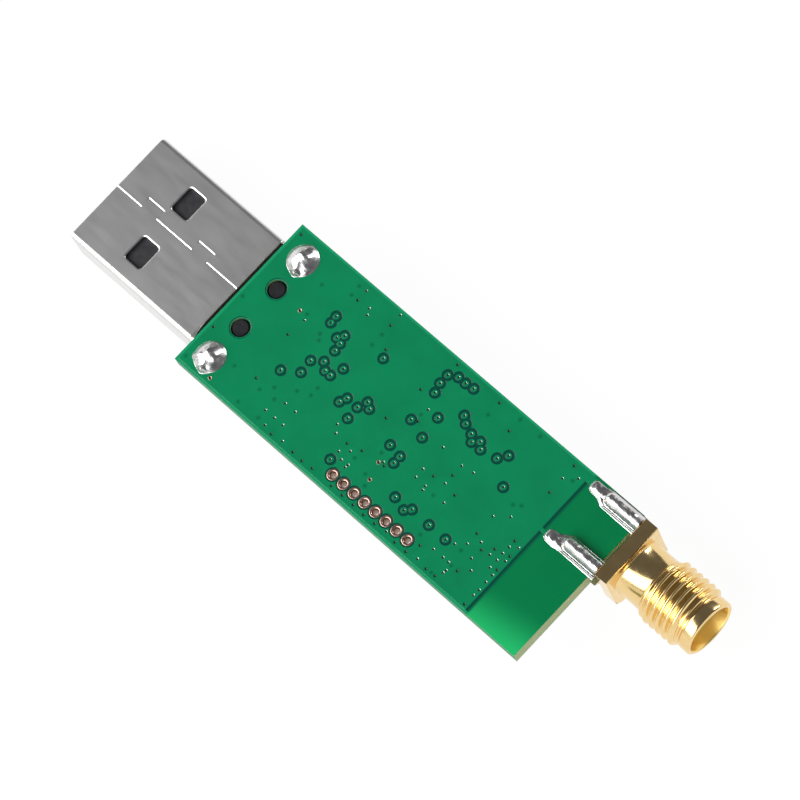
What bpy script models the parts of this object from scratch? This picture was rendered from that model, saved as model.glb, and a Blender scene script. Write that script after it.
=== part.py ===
"""Spectrum analyzer: a bare-board USB radio stick with a threaded coaxial jack.

Sizes are in millimetres, and the helpers turn them into metres.
Board coordinates start at the middle of the board's plug-end edge, on the solder side:
+X runs to the jack, +Z out of the solder side, and the component side faces down.
The part's own origin is the middle of its footprint, at the height of the plug's lower face.
"""

import math

import bmesh
import bpy
from mathutils import Matrix, Vector

MM = 0.001
SEAT = 0.1  # gap between a seated piece and its neighbour

# Board
BOARD_LENGTH = 40.6
BOARD_WIDTH = 16.0
BOARD_THICKNESS = 1.6
UNDERSIDE = -BOARD_THICKNESS
HOLE_COUNT = 8
HOLE_PITCH = 1.27
HOLE_RADIUS = 0.4
HOLE_ROW_X = 17.9
HOLE_ROW_Y = -6.55

# USB plug
PLUG_REACH = 16.0
PLUG_WIDTH = 12.0
PLUG_HEIGHT = 4.5
PLUG_Y = 0.15  # the plug sits a little off the middle, by its play in the board
PLUG_CENTRE_Z = UNDERSIDE - PLUG_HEIGHT / 2
PLUG_BOTTOM_Z = UNDERSIDE - PLUG_HEIGHT
SHEET = 0.3
SHELL_CORNER = 0.5
SHELL_REAR = 3.4
SHELL_LIP = -0.95  # rear edge of the shell's upper face
LIP_CURVE_START = -3.2  # across the plug
LIP_CURVE_REACH = 0.9
WINDOW_X = -9.85
WINDOW_SPREAD = 2.94
WINDOW_SIZE = (2.0, 2.6)
WINDOW_CORNER = 0.3
SEAM_WIDTH = 0.07
SEAM_STEP = 1.0
SEAM_TABS = ((-12.95, -11.05), (-6.65, -4.75))  # where each dovetail starts and ends
TAB_X = 2.45
TAB_LENGTH = 1.0
TAB_Y = PLUG_WIDTH / 2 - SHEET / 2
SLOT_SPREAD = 5.8
SLOT_SIZE = (1.6, 0.9)
PEG_SPREAD = 2.27
PEG_RADIUS = 0.8
PEG_HOLE_RADIUS = 0.9
TONGUE_FRONT = -15.3
TONGUE_TOP = UNDERSIDE - SHEET - SEAT
TONGUE_BOTTOM = -3.85
HOUSING_FRONT = -1.6
HOUSING_REAR = 3.6
CONTACT_WIDTH = 1.0
CONTACT_SHEET = 0.3
CONTACTS = {  # distance across the plug, and the front end of each contact
    "usb_contact_power": (3.5, -14.8),
    "usb_contact_data_minus": (1.0, -13.8),
    "usb_contact_data_plus": (-1.0, -13.8),
    "usb_contact_ground": (-3.5, -14.8),
}

# Coaxial jack, 1/4-36 thread
JACK_Y = 4.6
JACK_Z = -2.2
FLANGE_X = 41.1
FLANGE_SIZE = 6.35
FLANGE_THICKNESS = 1.5
FLANGE_CHAMFER = 0.6
EDGE_BREAK = 0.12
NECK_RADIUS = 2.6
THREAD_START = 4.1  # from the flange's rear face, as the next four
THREAD_PITCH = 25.4 / 36
THREAD_TURNS = 6
LIP_START = 8.7
JACK_LENGTH = 9.7
CREST_RADIUS = 3.1
ROOT_RADIUS = 2.75
MOUTH_RADIUS = 2.3
BORE_RADIUS = 2.1
INSULATOR_FRONT = 7.8
CONTACT_RADIUS = 0.635
SOCKET_RADIUS = 0.46
SOCKET_DEPTH = 3.0
TAIL_RADIUS = 0.45
TAIL_LENGTH = 2.6
LEG_SPREAD = 2.54
LEG_WIDTH = 1.0
LEG_LENGTH = 3.8
LEG_HEIGHT = 0.85
LEG_SOLDER = (5.1, 1.7, 0.4)

# Push buttons
BUTTON_PLACES = {"left": (13.9, -5.0), "right": (13.2, 5.2)}
BUTTON_SIZE = (4.2, 3.2, 1.5)
BUTTON_CAVITY_RADIUS = 1.35
BUTTON_CAVITY_DEPTH = 1.0
BUTTON_COVER = 0.2
BUTTON_HOLE_RADIUS = 0.9
PLUNGER_RADIUS = 0.75
PLUNGER_FLANGE_RADIUS = 1.05
PLUNGER_FLANGE_HEIGHT = 0.45
PLUNGER_TIP = 2.25  # below the board's component side
DOME_RADIUS = 1.15
DOME_HEIGHT = 0.3
DOME_SHEET = 0.08

# Debug header
HEADER_AT = (18.8, 0.7)
HEADER_PITCH = 1.27
HEADER_ROWS = 5
HEADER_BODY = (2.6, 6.35, 1.5)
HEADER_BODY_STANDOFF = 0.5
PIN_SIDE = 0.4
PIN_FOOT = 1.7

# Chips and passive parts: place, then length along X, width along Y and height
RADIO_CHIP = ((25.6, -0.6), (6.0, 6.0, 0.9))
REGULATOR = ((9.9, -3.9), (1.6, 2.9, 1.1))
CRYSTAL = ((30.8, -4.7), (3.2, 2.5))
CRYSTAL_BASE = 0.45
CRYSTAL_LID = 0.25
LED_PLACES = {"left": (8.0, -6.6), "right": (8.0, 6.0)}
LED_BASE = (2.0, 1.25, 0.35)
LED_LENS = (1.3, 1.2, 0.4)
CHIP_PARTS = {
    "balun": ((31.2, 2.2), (1.25, 2.0, 0.9)),
    "ferrite_bead": ((7.2, -2.3), (2.0, 1.25, 0.9)),
    "inductor_1": ((33.6, 3.2), (1.0, 0.5, 0.5)),
    "inductor_2": ((34.4, 5.6), (0.5, 1.0, 0.5)),
    "capacitor_1": ((7.4, 0.4), (1.6, 0.8, 0.8)),
    "capacitor_2": ((9.6, 0.9), (0.8, 1.6, 0.8)),
    "capacitor_3": ((12.2, -1.0), (1.6, 0.8, 0.8)),
    "capacitor_4": ((23.2, 4.4), (0.5, 1.0, 0.5)),
    "capacitor_5": ((26.4, 4.4), (0.5, 1.0, 0.5)),
    "capacitor_6": ((30.2, -1.2), (1.0, 0.5, 0.5)),
    "capacitor_7": ((32.8, 4.9), (1.0, 0.5, 0.5)),
    "resistor_1": ((8.0, 3.6), (1.0, 0.5, 0.35)),
    "resistor_2": ((10.6, 5.6), (0.5, 1.0, 0.35)),
    "resistor_3": ((7.2, -4.6), (1.0, 0.5, 0.35)),
    "resistor_4": ((22.6, -5.2), (1.0, 0.5, 0.35)),
}

MATERIALS = {  # colour, metallic, roughness
    "solder_mask_green": ((0.010, 0.245, 0.105), 0.0, 0.35),
    "shell_steel": ((0.50, 0.50, 0.50), 1.0, 0.30),
    "black_plastic": ((0.012, 0.012, 0.014), 0.0, 0.45),
    "contact_gold": ((0.90, 0.62, 0.26), 1.0, 0.25),
    "jack_gold": ((0.92, 0.66, 0.30), 1.0, 0.18),
    "solder": ((0.70, 0.70, 0.71), 1.0, 0.22),
    "fluoropolymer": ((0.86, 0.86, 0.84), 0.0, 0.40),
    "chip_epoxy": ((0.020, 0.020, 0.022), 0.0, 0.55),
    "ceramic": ((0.62, 0.55, 0.44), 0.0, 0.45),
    "ferrite": ((0.075, 0.075, 0.080), 0.0, 0.50),
    "stamped_steel": ((0.66, 0.66, 0.64), 1.0, 0.28),
    "led_lens": ((0.80, 0.84, 0.72), 0.0, 0.20),
    "button_plunger": ((0.03, 0.03, 0.03), 0.0, 0.50),
}


def clear_scene():
    for obj in list(bpy.data.objects):
        bpy.data.objects.remove(obj, do_unlink=True)


def make_material(name):
    colour, metallic, roughness = MATERIALS[name]
    material = bpy.data.materials.new(name)
    material.use_nodes = True
    shader = material.node_tree.nodes["Principled BSDF"]
    shader.inputs["Base Color"].default_value = (*colour, 1.0)
    shader.inputs["Metallic"].default_value = metallic
    shader.inputs["Roughness"].default_value = roughness
    return material


def make_board_frame():
    """An empty at board coordinates' origin, which places every piece in the part's own frame."""
    frame = bpy.data.objects.new("board_frame", None)
    overall = PLUG_REACH + FLANGE_X + JACK_LENGTH
    frame.location = (
        (PLUG_REACH - overall / 2) * MM,
        0.0,
        -PLUG_BOTTOM_Z * MM,
    )
    bpy.context.scene.collection.objects.link(frame)
    return frame


# Shapes, in millimetres about their own origin


def box_shape(size, centre=(0.0, 0.0, 0.0)):
    shape = bmesh.new()
    bmesh.ops.create_cube(shape, size=1.0)
    bmesh.ops.scale(shape, vec=size, verts=shape.verts)
    bmesh.ops.translate(shape, vec=centre, verts=shape.verts)
    return shape


def prism_shape(outline, low, high, axis="Z"):
    """An outline of (u, v) points drawn across an axis and extruded along it from low to high."""
    place = {
        "X": lambda u, v, w: (w, u, v),
        "Y": lambda u, v, w: (u, w, v),
        "Z": lambda u, v, w: (u, v, w),
    }[axis]
    shape = bmesh.new()
    corners = [shape.verts.new(place(u, v, low)) for u, v in outline]
    base = shape.faces.new(corners)
    grown = bmesh.ops.extrude_face_region(shape, geom=[base])
    moved = [v for v in grown["geom"] if isinstance(v, bmesh.types.BMVert)]
    bmesh.ops.translate(shape, vec=place(0.0, 0.0, high - low), verts=moved)
    return shape


def turned_shape(profile, steps, axis="Z", closed=False, squash=1.0):
    """(radius, height) points turned about an axis: from pole to pole, or as a closed ring."""
    place = {
        "X": lambda u, v, w: (w, u, v),
        "Z": lambda u, v, w: (u, v, w),
    }[axis]
    shape = bmesh.new()
    rings = []
    for radius, height in profile:
        if radius == 0.0:
            rings.append([shape.verts.new(place(0.0, 0.0, height))] * steps)
            continue
        turns = [2 * math.pi * step / steps for step in range(steps)]
        ring = [(radius * squash * math.cos(t), radius * math.sin(t)) for t in turns]
        rings.append([shape.verts.new(place(u, v, height)) for u, v in ring])
    pairs = list(zip(rings, rings[1:]))
    if closed:
        pairs.append((rings[-1], rings[0]))
    for near, far in pairs:
        for i in range(steps):
            j = (i + 1) % steps
            corners = list(dict.fromkeys((near[i], near[j], far[j], far[i])))
            shape.faces.new(corners)
    return shape


def rounded_outline(width, height, radius, steps, centre=(0.0, 0.0)):
    """A rectangle with round corners, as points in order."""
    points = []
    for corner in range(4):
        turn = corner * math.pi / 2
        side_u = 1 if corner in (0, 3) else -1
        side_v = 1 if corner in (0, 1) else -1
        mid_u = centre[0] + side_u * (width / 2 - radius)
        mid_v = centre[1] + side_v * (height / 2 - radius)
        for step in range(steps + 1):
            angle = turn + step * math.pi / 2 / steps
            points.append(
                (mid_u + radius * math.cos(angle), mid_v + radius * math.sin(angle))
            )
    return points


def ribbon_outline(path, width):
    """The outline of a strip of a given width along a path, with mitred corners."""
    sides = {1: [], -1: []}
    for i, point in enumerate(path):
        here = Vector(point)
        before = (here - Vector(path[i - 1])).normalized() if i > 0 else None
        after = (
            (Vector(path[i + 1]) - here).normalized() if i + 1 < len(path) else before
        )
        before = before or after
        normal = Vector((-before.y - after.y, before.x + after.x)).normalized()
        reach = width / 2 / normal.dot(Vector((-before.y, before.x)))
        for side in sides:
            sides[side].append(tuple(here + normal * reach * side))
    return sides[1] + sides[-1][::-1]


def join_shapes(shapes):
    """Several shapes in one mesh, as a cutter with separate bodies."""
    whole = bmesh.new()
    for shape in shapes:
        mesh = bpy.data.meshes.new("shape")
        shape.to_mesh(mesh)
        shape.free()
        whole.from_mesh(mesh)
        bpy.data.meshes.remove(mesh)
    return whole


# Pieces


def add_piece(name, shape, material, location=(0.0, 0.0, 0.0), smooth=False):
    """Makes an object from a shape and places it in board coordinates."""
    bmesh.ops.recalc_face_normals(shape, faces=shape.faces)
    shape.transform(Matrix.Scale(MM, 4))
    mesh = bpy.data.meshes.new(name)
    shape.to_mesh(mesh)
    shape.free()
    if material:
        mesh.materials.append(material)
    if smooth:
        mesh.shade_smooth()
        mesh.set_sharp_from_angle(angle=math.radians(35))
    piece = bpy.data.objects.new(name, mesh)
    piece.parent = bpy.data.objects["board_frame"]
    piece.location = Vector(location) * MM
    bpy.context.scene.collection.objects.link(piece)
    return piece


def shape_with(piece, operation, shape, location=(0.0, 0.0, 0.0)):
    """Cuts a shape out of a piece, or unites it with the piece."""
    tool = add_piece(f"{piece.name}_{operation.lower()}", shape, None, location)
    tool.hide_render = True
    tool.display_type = "WIRE"
    modifier = piece.modifiers.new(operation.lower(), "BOOLEAN")
    modifier.operation = operation
    modifier.solver = "EXACT"
    modifier.object = tool


def cut(piece, shape, location=(0.0, 0.0, 0.0)):
    shape_with(piece, "DIFFERENCE", shape, location)


def unite(piece, shape, location=(0.0, 0.0, 0.0)):
    shape_with(piece, "UNION", shape, location)


def below_board(place, height):
    """The centre of a piece of this height that is soldered to the component side."""
    return (*place, UNDERSIDE - SEAT - height / 2)


def add_chip(name, place, size, material):
    """A block with broken edges on the component side."""
    shape = box_shape(size)
    bmesh.ops.bevel(
        shape, geom=shape.edges, offset=min(size) * 0.08, segments=1, affect="EDGES"
    )
    return add_piece(name, shape, material, below_board(place, size[2]))


def add_circuit_board(materials):
    board = add_piece(
        "circuit_board",
        box_shape((BOARD_LENGTH, BOARD_WIDTH, BOARD_THICKNESS)),
        materials["solder_mask_green"],
        (BOARD_LENGTH / 2, 0.0, UNDERSIDE / 2),
    )
    deep = BOARD_THICKNESS
    drills = []
    for i in range(HOLE_COUNT):
        hole = turned_shape(
            [(0.0, -deep), (HOLE_RADIUS, -deep), (HOLE_RADIUS, deep), (0.0, deep)], 12
        )
        at = (HOLE_ROW_X + i * HOLE_PITCH, HOLE_ROW_Y, UNDERSIDE / 2)
        bmesh.ops.translate(hole, vec=at, verts=hole.verts)
        drills.append(hole)
    for side in (-1, 1):
        hole = turned_shape(
            [
                (0.0, -deep),
                (PEG_HOLE_RADIUS, -deep),
                (PEG_HOLE_RADIUS, deep),
                (0.0, deep),
            ],
            20,
        )
        at = (TAB_X, side * PEG_SPREAD, UNDERSIDE / 2)
        bmesh.ops.translate(hole, vec=at, verts=hole.verts)
        slot = prism_shape(
            rounded_outline(*SLOT_SIZE, SLOT_SIZE[1] * 0.45, 3), -deep, deep
        )
        at = (TAB_X, side * SLOT_SPREAD, UNDERSIDE / 2)
        bmesh.ops.translate(slot, vec=at, verts=slot.verts)
        drills += [hole, slot]
    cut(board, join_shapes(drills))


def seam_path():
    """The seam along the shell's upper face, stepping round each dovetail."""
    slant = 0.05
    path = [(-PLUG_REACH - 1.0, 0.0)]
    for start, end in SEAM_TABS:
        path += [
            (start + slant, 0.0),
            (start - slant, SEAM_STEP),
            (end + slant, SEAM_STEP),
            (end - slant, 0.0),
        ]
    path.append((SHELL_LIP + 1.0, 0.0))
    return path


def lip_outline():
    """What is cut from the shell's upper face: its rear edge is straight, and curves back at one side."""
    half = PLUG_WIDTH / 2 + 1.0
    rear = SHELL_REAR + 1.0
    steps = 5
    outline = [(rear, half), (SHELL_LIP, half)]
    for step in range(steps + 1):
        share = step / steps
        x = SHELL_LIP + LIP_CURVE_REACH * share**2
        outline.append((x, LIP_CURVE_START - (half + LIP_CURVE_START) * share))
    outline.append((rear, -half))
    return outline


def add_usb_shell(materials):
    steps = 3
    shell = add_piece(
        "usb_shell",
        prism_shape(
            rounded_outline(PLUG_WIDTH, PLUG_HEIGHT, SHELL_CORNER, steps),
            -PLUG_REACH,
            SHELL_REAR,
            "X",
        ),
        materials["shell_steel"],
        (0.0, PLUG_Y, PLUG_CENTRE_Z),
    )
    inner = rounded_outline(
        PLUG_WIDTH - 2 * SHEET, PLUG_HEIGHT - 2 * SHEET, SHELL_CORNER - SHEET, steps
    )
    inside = prism_shape(inner, -PLUG_REACH - 1.0, SHELL_REAR + 1.0, "X")
    cut(shell, inside, (0.0, PLUG_Y, PLUG_CENTRE_Z))
    windows = []
    for side in (-1, 1):
        outline = rounded_outline(
            *WINDOW_SIZE, WINDOW_CORNER, 3, (WINDOW_X, side * WINDOW_SPREAD)
        )
        windows.append(prism_shape(outline, -PLUG_HEIGHT, PLUG_HEIGHT))
    cut(shell, join_shapes(windows), (0.0, PLUG_Y, PLUG_CENTRE_Z))
    seam = prism_shape(ribbon_outline(seam_path(), SEAM_WIDTH), -1.0, 1.0)
    cut(shell, seam, (0.0, PLUG_Y, UNDERSIDE))
    lip = prism_shape(lip_outline(), UNDERSIDE - SHEET - SEAT, 0.5)
    cut(shell, lip, (0.0, PLUG_Y, 0.0))
    tabs = []
    for side in (-1, 1):
        bottom = UNDERSIDE - 0.8
        top = -SEAT
        tabs.append(
            box_shape(
                (TAB_LENGTH, SHEET - 0.04, top - bottom),
                (TAB_X, side * TAB_Y, (top + bottom) / 2),
            )
        )
    unite(shell, join_shapes(tabs), (0.0, PLUG_Y, 0.0))


def add_usb_insulator(materials):
    inner_width = PLUG_WIDTH - 2 * SHEET - 2 * SEAT
    housing_top = UNDERSIDE - SHEET - SEAT
    housing_bottom = PLUG_BOTTOM_Z + SHEET + SEAT
    profile = [
        (TONGUE_FRONT, TONGUE_TOP - 0.3),
        (TONGUE_FRONT + 0.3, TONGUE_TOP),
        (HOUSING_FRONT, housing_top),
        (-0.2, housing_top),
        (-0.2, UNDERSIDE - SEAT),
        (HOUSING_REAR, UNDERSIDE - SEAT),
        (HOUSING_REAR, housing_bottom),
        (HOUSING_FRONT, housing_bottom),
        (HOUSING_FRONT, TONGUE_BOTTOM),
        (TONGUE_FRONT + 0.3, TONGUE_BOTTOM),
        (TONGUE_FRONT, TONGUE_BOTTOM + 0.3),
    ]
    insulator = add_piece(
        "usb_insulator",
        prism_shape(profile, -inner_width / 2, inner_width / 2, "Y"),
        materials["black_plastic"],
        (0.0, PLUG_Y, 0.0),
    )
    grooves = []
    for across, front in CONTACTS.values():
        length = HOUSING_REAR + 1.0 - front + SEAT
        grooves.append(
            box_shape(
                (length, CONTACT_WIDTH + 2 * SEAT, 0.6),
                (front - SEAT + length / 2, across, TONGUE_BOTTOM + 0.05),
            )
        )
    cut(insulator, join_shapes(grooves), (0.0, PLUG_Y, 0.0))
    pegs = []
    for side in (-1, 1):
        peg = turned_shape(
            [
                (0.0, UNDERSIDE - 0.6),
                (PEG_RADIUS, UNDERSIDE - 0.6),
                (PEG_RADIUS, -0.25),
                (PEG_RADIUS - 0.12, -SEAT),
                (0.0, -SEAT),
            ],
            20,
        )
        at = (TAB_X, side * PEG_SPREAD, 0.0)
        bmesh.ops.translate(peg, vec=at, verts=peg.verts)
        pegs.append(peg)
    unite(insulator, join_shapes(pegs))


def add_usb_contacts(materials):
    """Four bent strips: along the tongue's lower face, through the housing, up to the board."""
    low = TONGUE_BOTTOM - 0.05
    top = UNDERSIDE - SEAT
    riser = HOUSING_REAR + 0.3
    foot = riser + 1.4
    for name, (across, front) in CONTACTS.items():
        profile = [
            (front, low),
            (riser + CONTACT_SHEET, low),
            (riser + CONTACT_SHEET, top - CONTACT_SHEET),
            (foot, top - CONTACT_SHEET),
            (foot, top),
            (riser, top),
            (riser, low + CONTACT_SHEET),
            (front, low + CONTACT_SHEET),
        ]
        shape = prism_shape(profile, -CONTACT_WIDTH / 2, CONTACT_WIDTH / 2, "Y")
        add_piece(name, shape, materials["contact_gold"], (0.0, PLUG_Y + across, 0.0))


def add_shell_solder(materials):
    """A dome of solder on the solder side over each of the shell's two tabs."""
    radius = 1.62
    height = 0.85
    rings = 5
    profile = [(0.0, SEAT / 2)]
    for ring in range(rings):
        angle = ring * math.pi / 2 / rings
        profile.append(
            (radius * math.cos(angle), SEAT / 2 + (height - SEAT / 2) * math.sin(angle))
        )
    profile.append((0.0, height))
    for name, side in (("left", -1), ("right", 1)):
        add_piece(
            f"shell_solder_{name}",
            turned_shape(profile, 20, squash=0.9),
            materials["solder"],
            (TAB_X, side * SLOT_SPREAD, 0.0),
            smooth=True,
        )


def jack_profile():
    """The jack's barrel as a closed ring: outside from flange to mouth, then back along the bore."""
    outside = [(NECK_RADIUS, FLANGE_THICKNESS - 0.6), (NECK_RADIUS, THREAD_START)]
    for turn in range(THREAD_TURNS):
        x = THREAD_START + 0.2 + turn * THREAD_PITCH
        outside += [
            (ROOT_RADIUS, x),
            (CREST_RADIUS, x + THREAD_PITCH * 0.35),
            (CREST_RADIUS, x + THREAD_PITCH * 0.65),
        ]
    outside += [(NECK_RADIUS, LIP_START), (NECK_RADIUS, JACK_LENGTH - 0.12)]
    mouth = [(NECK_RADIUS - 0.12, JACK_LENGTH), (MOUTH_RADIUS, JACK_LENGTH)]
    bore = [
        (MOUTH_RADIUS, INSULATOR_FRONT),
        (BORE_RADIUS, INSULATOR_FRONT),
        (BORE_RADIUS, FLANGE_THICKNESS - 0.6),
    ]
    return outside + mouth + bore


def flange_outline():
    """A square with its two corners on the component side cut off."""
    half = FLANGE_SIZE / 2
    inside = half - FLANGE_CHAMFER
    return [
        (-half, half),
        (-half, -inside),
        (-inside, -half),
        (inside, -half),
        (half, -inside),
        (half, half),
    ]


def add_jack(materials):
    at = (FLANGE_X, JACK_Y, JACK_Z)
    flange = prism_shape(flange_outline(), 0.0, FLANGE_THICKNESS, "X")
    bmesh.ops.bevel(
        flange, geom=flange.edges, offset=EDGE_BREAK, segments=1, affect="EDGES"
    )
    body = add_piece("jack_body", flange, materials["jack_gold"], at, smooth=True)
    hole = [
        (0.0, -1.0),
        (BORE_RADIUS, -1.0),
        (BORE_RADIUS, FLANGE_THICKNESS + 1.0),
        (0.0, FLANGE_THICKNESS + 1.0),
    ]
    cut(body, turned_shape(hole, 32, "X"), at)
    unite(body, turned_shape(jack_profile(), 32, "X", closed=True), at)
    legs = []
    solder_side = -JACK_Z + SEAT + LEG_HEIGHT / 2
    component_side = UNDERSIDE - JACK_Z - SEAT - LEG_HEIGHT / 2
    for across in (-LEG_SPREAD, LEG_SPREAD):
        for height in (solder_side, component_side):
            size = (LEG_LENGTH + 0.5, LEG_WIDTH, LEG_HEIGHT)
            leg = box_shape(size, ((0.5 - LEG_LENGTH) / 2, across, height))
            bmesh.ops.bevel(
                leg, geom=leg.edges, offset=EDGE_BREAK, segments=1, affect="EDGES"
            )
            legs.append(leg)
    unite(body, join_shapes(legs), at)

    ring = [
        (CONTACT_RADIUS + SEAT, 0.1),
        (BORE_RADIUS - SEAT, 0.1),
        (BORE_RADIUS - SEAT, INSULATOR_FRONT),
        (CONTACT_RADIUS + SEAT, INSULATOR_FRONT),
    ]
    add_piece(
        "jack_insulator",
        turned_shape(ring, 28, "X", closed=True),
        materials["fluoropolymer"],
        at,
        smooth=True,
    )

    front = INSULATOR_FRONT + 0.1
    profile = [
        (0.0, -TAIL_LENGTH),
        (TAIL_RADIUS, -TAIL_LENGTH),
        (TAIL_RADIUS, 0.0),
        (CONTACT_RADIUS, 0.1),
        (CONTACT_RADIUS, front - 0.1),
        (CONTACT_RADIUS - 0.08, front),
        (SOCKET_RADIUS, front),
        (SOCKET_RADIUS, front - SOCKET_DEPTH),
        (0.0, front - SOCKET_DEPTH),
    ]
    contact = add_piece(
        "jack_contact",
        turned_shape(profile, 20, "X"),
        materials["contact_gold"],
        at,
        smooth=True,
    )
    slots = []
    for size in ((SOCKET_DEPTH, 3.0, 0.12), (SOCKET_DEPTH, 0.12, 3.0)):
        slots.append(box_shape(size, (front - SOCKET_DEPTH / 2 + 0.5, 0.0, 0.0)))
    cut(contact, join_shapes(slots[:1]), at)
    cut(contact, join_shapes(slots[1:]), at)


def solder_outline(length, width, slot_length, slot_width):
    """A U that opens to the board's end, with room between its arms for a leg or a tail."""
    nose = width * 0.3
    return [
        (0.0, -width / 2),
        (length - nose, -width / 2),
        (length, -width / 2 + nose),
        (length, width / 2 - nose),
        (length - nose, width / 2),
        (0.0, width / 2),
        (0.0, slot_width / 2),
        (slot_length, slot_width / 2),
        (slot_length, -slot_width / 2),
        (0.0, -slot_width / 2),
    ]


def add_jack_solder(materials):
    """Solder round each leg of the jack, and round the centre contact's tail."""
    length, width, height = LEG_SOLDER
    gap = FLANGE_X - BOARD_LENGTH
    leg_slot = (LEG_LENGTH - gap + SEAT, LEG_WIDTH + 2 * SEAT)
    tail_slot = (TAIL_LENGTH - gap + SEAT, 2 * (TAIL_RADIUS + SEAT))
    half = SEAT / 2
    places = []
    for name, across in (("left", -LEG_SPREAD), ("right", LEG_SPREAD)):
        places.append((f"leg_solder_top_{name}", across, half, height, leg_slot))
        low = UNDERSIDE - height
        places.append(
            (f"leg_solder_bottom_{name}", across, low, UNDERSIDE - half, leg_slot)
        )
    low = UNDERSIDE - 0.7
    places.append(("tail_solder", 0.0, low, UNDERSIDE - half, tail_slot))
    for name, across, bottom, top, slot in places:
        outline = [(-u, v) for u, v in solder_outline(length, width, *slot)]
        add_piece(
            name,
            prism_shape(outline, bottom, top),
            materials["solder"],
            (BOARD_LENGTH - 0.1, JACK_Y + across, 0.0),
        )


def add_button(side, place, materials):
    """A push button on the component side: its plunger points down and moves up to the board."""
    length, width, height = BUTTON_SIZE
    top = UNDERSIDE - SEAT
    bottom = top - height
    floor = bottom + BUTTON_CAVITY_DEPTH
    housing = add_piece(
        f"button_housing_{side}",
        box_shape(BUTTON_SIZE, (0.0, 0.0, top - height / 2)),
        materials["black_plastic"],
        (*place, 0.0),
    )
    cavity = [
        (0.0, floor),
        (BUTTON_CAVITY_RADIUS, floor),
        (BUTTON_CAVITY_RADIUS, bottom - 1.0),
        (0.0, bottom - 1.0),
    ]
    cut(housing, turned_shape(cavity, 20), (*place, 0.0))

    cover_top = bottom - SEAT / 2
    cover_bottom = cover_top - BUTTON_COVER
    cover = add_piece(
        f"button_cover_{side}",
        box_shape(
            (length, width, BUTTON_COVER), (0.0, 0.0, (cover_top + cover_bottom) / 2)
        ),
        materials["stamped_steel"],
        (*place, 0.0),
    )
    hole = [
        (0.0, cover_top + 1.0),
        (BUTTON_HOLE_RADIUS, cover_top + 1.0),
        (BUTTON_HOLE_RADIUS, cover_bottom - 1.0),
        (0.0, cover_bottom - 1.0),
    ]
    cut(cover, turned_shape(hole, 20), (*place, 0.0))

    tip = UNDERSIDE - PLUNGER_TIP
    shoulder = cover_top + SEAT
    plunger = [
        (0.0, shoulder + PLUNGER_FLANGE_HEIGHT),
        (PLUNGER_FLANGE_RADIUS, shoulder + PLUNGER_FLANGE_HEIGHT),
        (PLUNGER_FLANGE_RADIUS, shoulder),
        (PLUNGER_RADIUS, shoulder),
        (PLUNGER_RADIUS, tip + 0.12),
        (PLUNGER_RADIUS - 0.12, tip),
        (0.0, tip),
    ]
    add_piece(
        f"button_plunger_{side}",
        turned_shape(plunger, 20),
        materials["button_plunger"],
        (*place, 0.0),
        smooth=True,
    )

    rings = 3
    outer = []
    inner = []
    for ring in range(rings):
        share = ring / rings
        radius = DOME_RADIUS * (1 - share)
        rise = DOME_HEIGHT * (1 - (1 - share) ** 2)
        outer.append((radius, floor - SEAT / 2 - DOME_SHEET - rise))
        inner.append((radius, floor - SEAT / 2 - rise))
    outer.append((0.0, floor - SEAT / 2 - DOME_SHEET - DOME_HEIGHT))
    inner.append((0.0, floor - SEAT / 2 - DOME_HEIGHT))
    add_piece(
        f"button_dome_{side}",
        turned_shape(inner[::-1] + outer, 20),
        materials["stamped_steel"],
        (*place, 0.0),
        smooth=True,
    )


def add_debug_header(materials):
    """A moulded body on feet with two rows of square pins, whose tips reach the plug's lower face."""
    length, width, height = HEADER_BODY
    body_top = UNDERSIDE - HEADER_BODY_STANDOFF
    body = add_piece(
        "header_body",
        box_shape(HEADER_BODY, (0.0, 0.0, body_top - height / 2)),
        materials["black_plastic"],
        (*HEADER_AT, 0.0),
    )
    top = UNDERSIDE - SEAT
    foot_sheet = 0.25
    half = PIN_SIDE / 2
    channels = []
    for side in (-1, 1):
        for row in range(HEADER_ROWS):
            x = side * HEADER_PITCH / 2
            y = (row - (HEADER_ROWS - 1) / 2) * HEADER_PITCH
            channel = PIN_SIDE + 2 * SEAT
            channels.append(
                box_shape((channel, channel, 3 * height), (x, y, body_top - height / 2))
            )
            profile = [
                (-half, PLUG_BOTTOM_Z + 0.15),
                (-half + 0.1, PLUG_BOTTOM_Z),
                (half - 0.1, PLUG_BOTTOM_Z),
                (half, PLUG_BOTTOM_Z + 0.15),
                (half, top - foot_sheet),
                (PIN_FOOT, top - foot_sheet),
                (PIN_FOOT, top),
                (-half, top),
            ]
            outline = [(side * u, v) for u, v in profile]
            number = 2 * row + (1 if side < 0 else 2)
            add_piece(
                f"header_pin_{number}",
                prism_shape(outline, -half, half, "Y"),
                materials["contact_gold"],
                (HEADER_AT[0] + x, HEADER_AT[1] + y, 0.0),
            )
    cut(body, join_shapes(channels), (*HEADER_AT, 0.0))


def add_leds(materials):
    base_length, base_width, base_height = LED_BASE
    lens_length, lens_width, lens_height = LED_LENS
    for side, place in LED_PLACES.items():
        add_chip(f"led_base_{side}", place, LED_BASE, materials["fluoropolymer"])
        lens_top = UNDERSIDE - SEAT - base_height - SEAT / 2
        half = lens_length / 2
        profile = [
            (-half, lens_top),
            (half, lens_top),
            (half - 0.15, lens_top - lens_height),
            (-half + 0.15, lens_top - lens_height),
        ]
        add_piece(
            f"led_lens_{side}",
            prism_shape(profile, -lens_width / 2, lens_width / 2, "Y"),
            materials["led_lens"],
            (*place, 0.0),
        )


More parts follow.
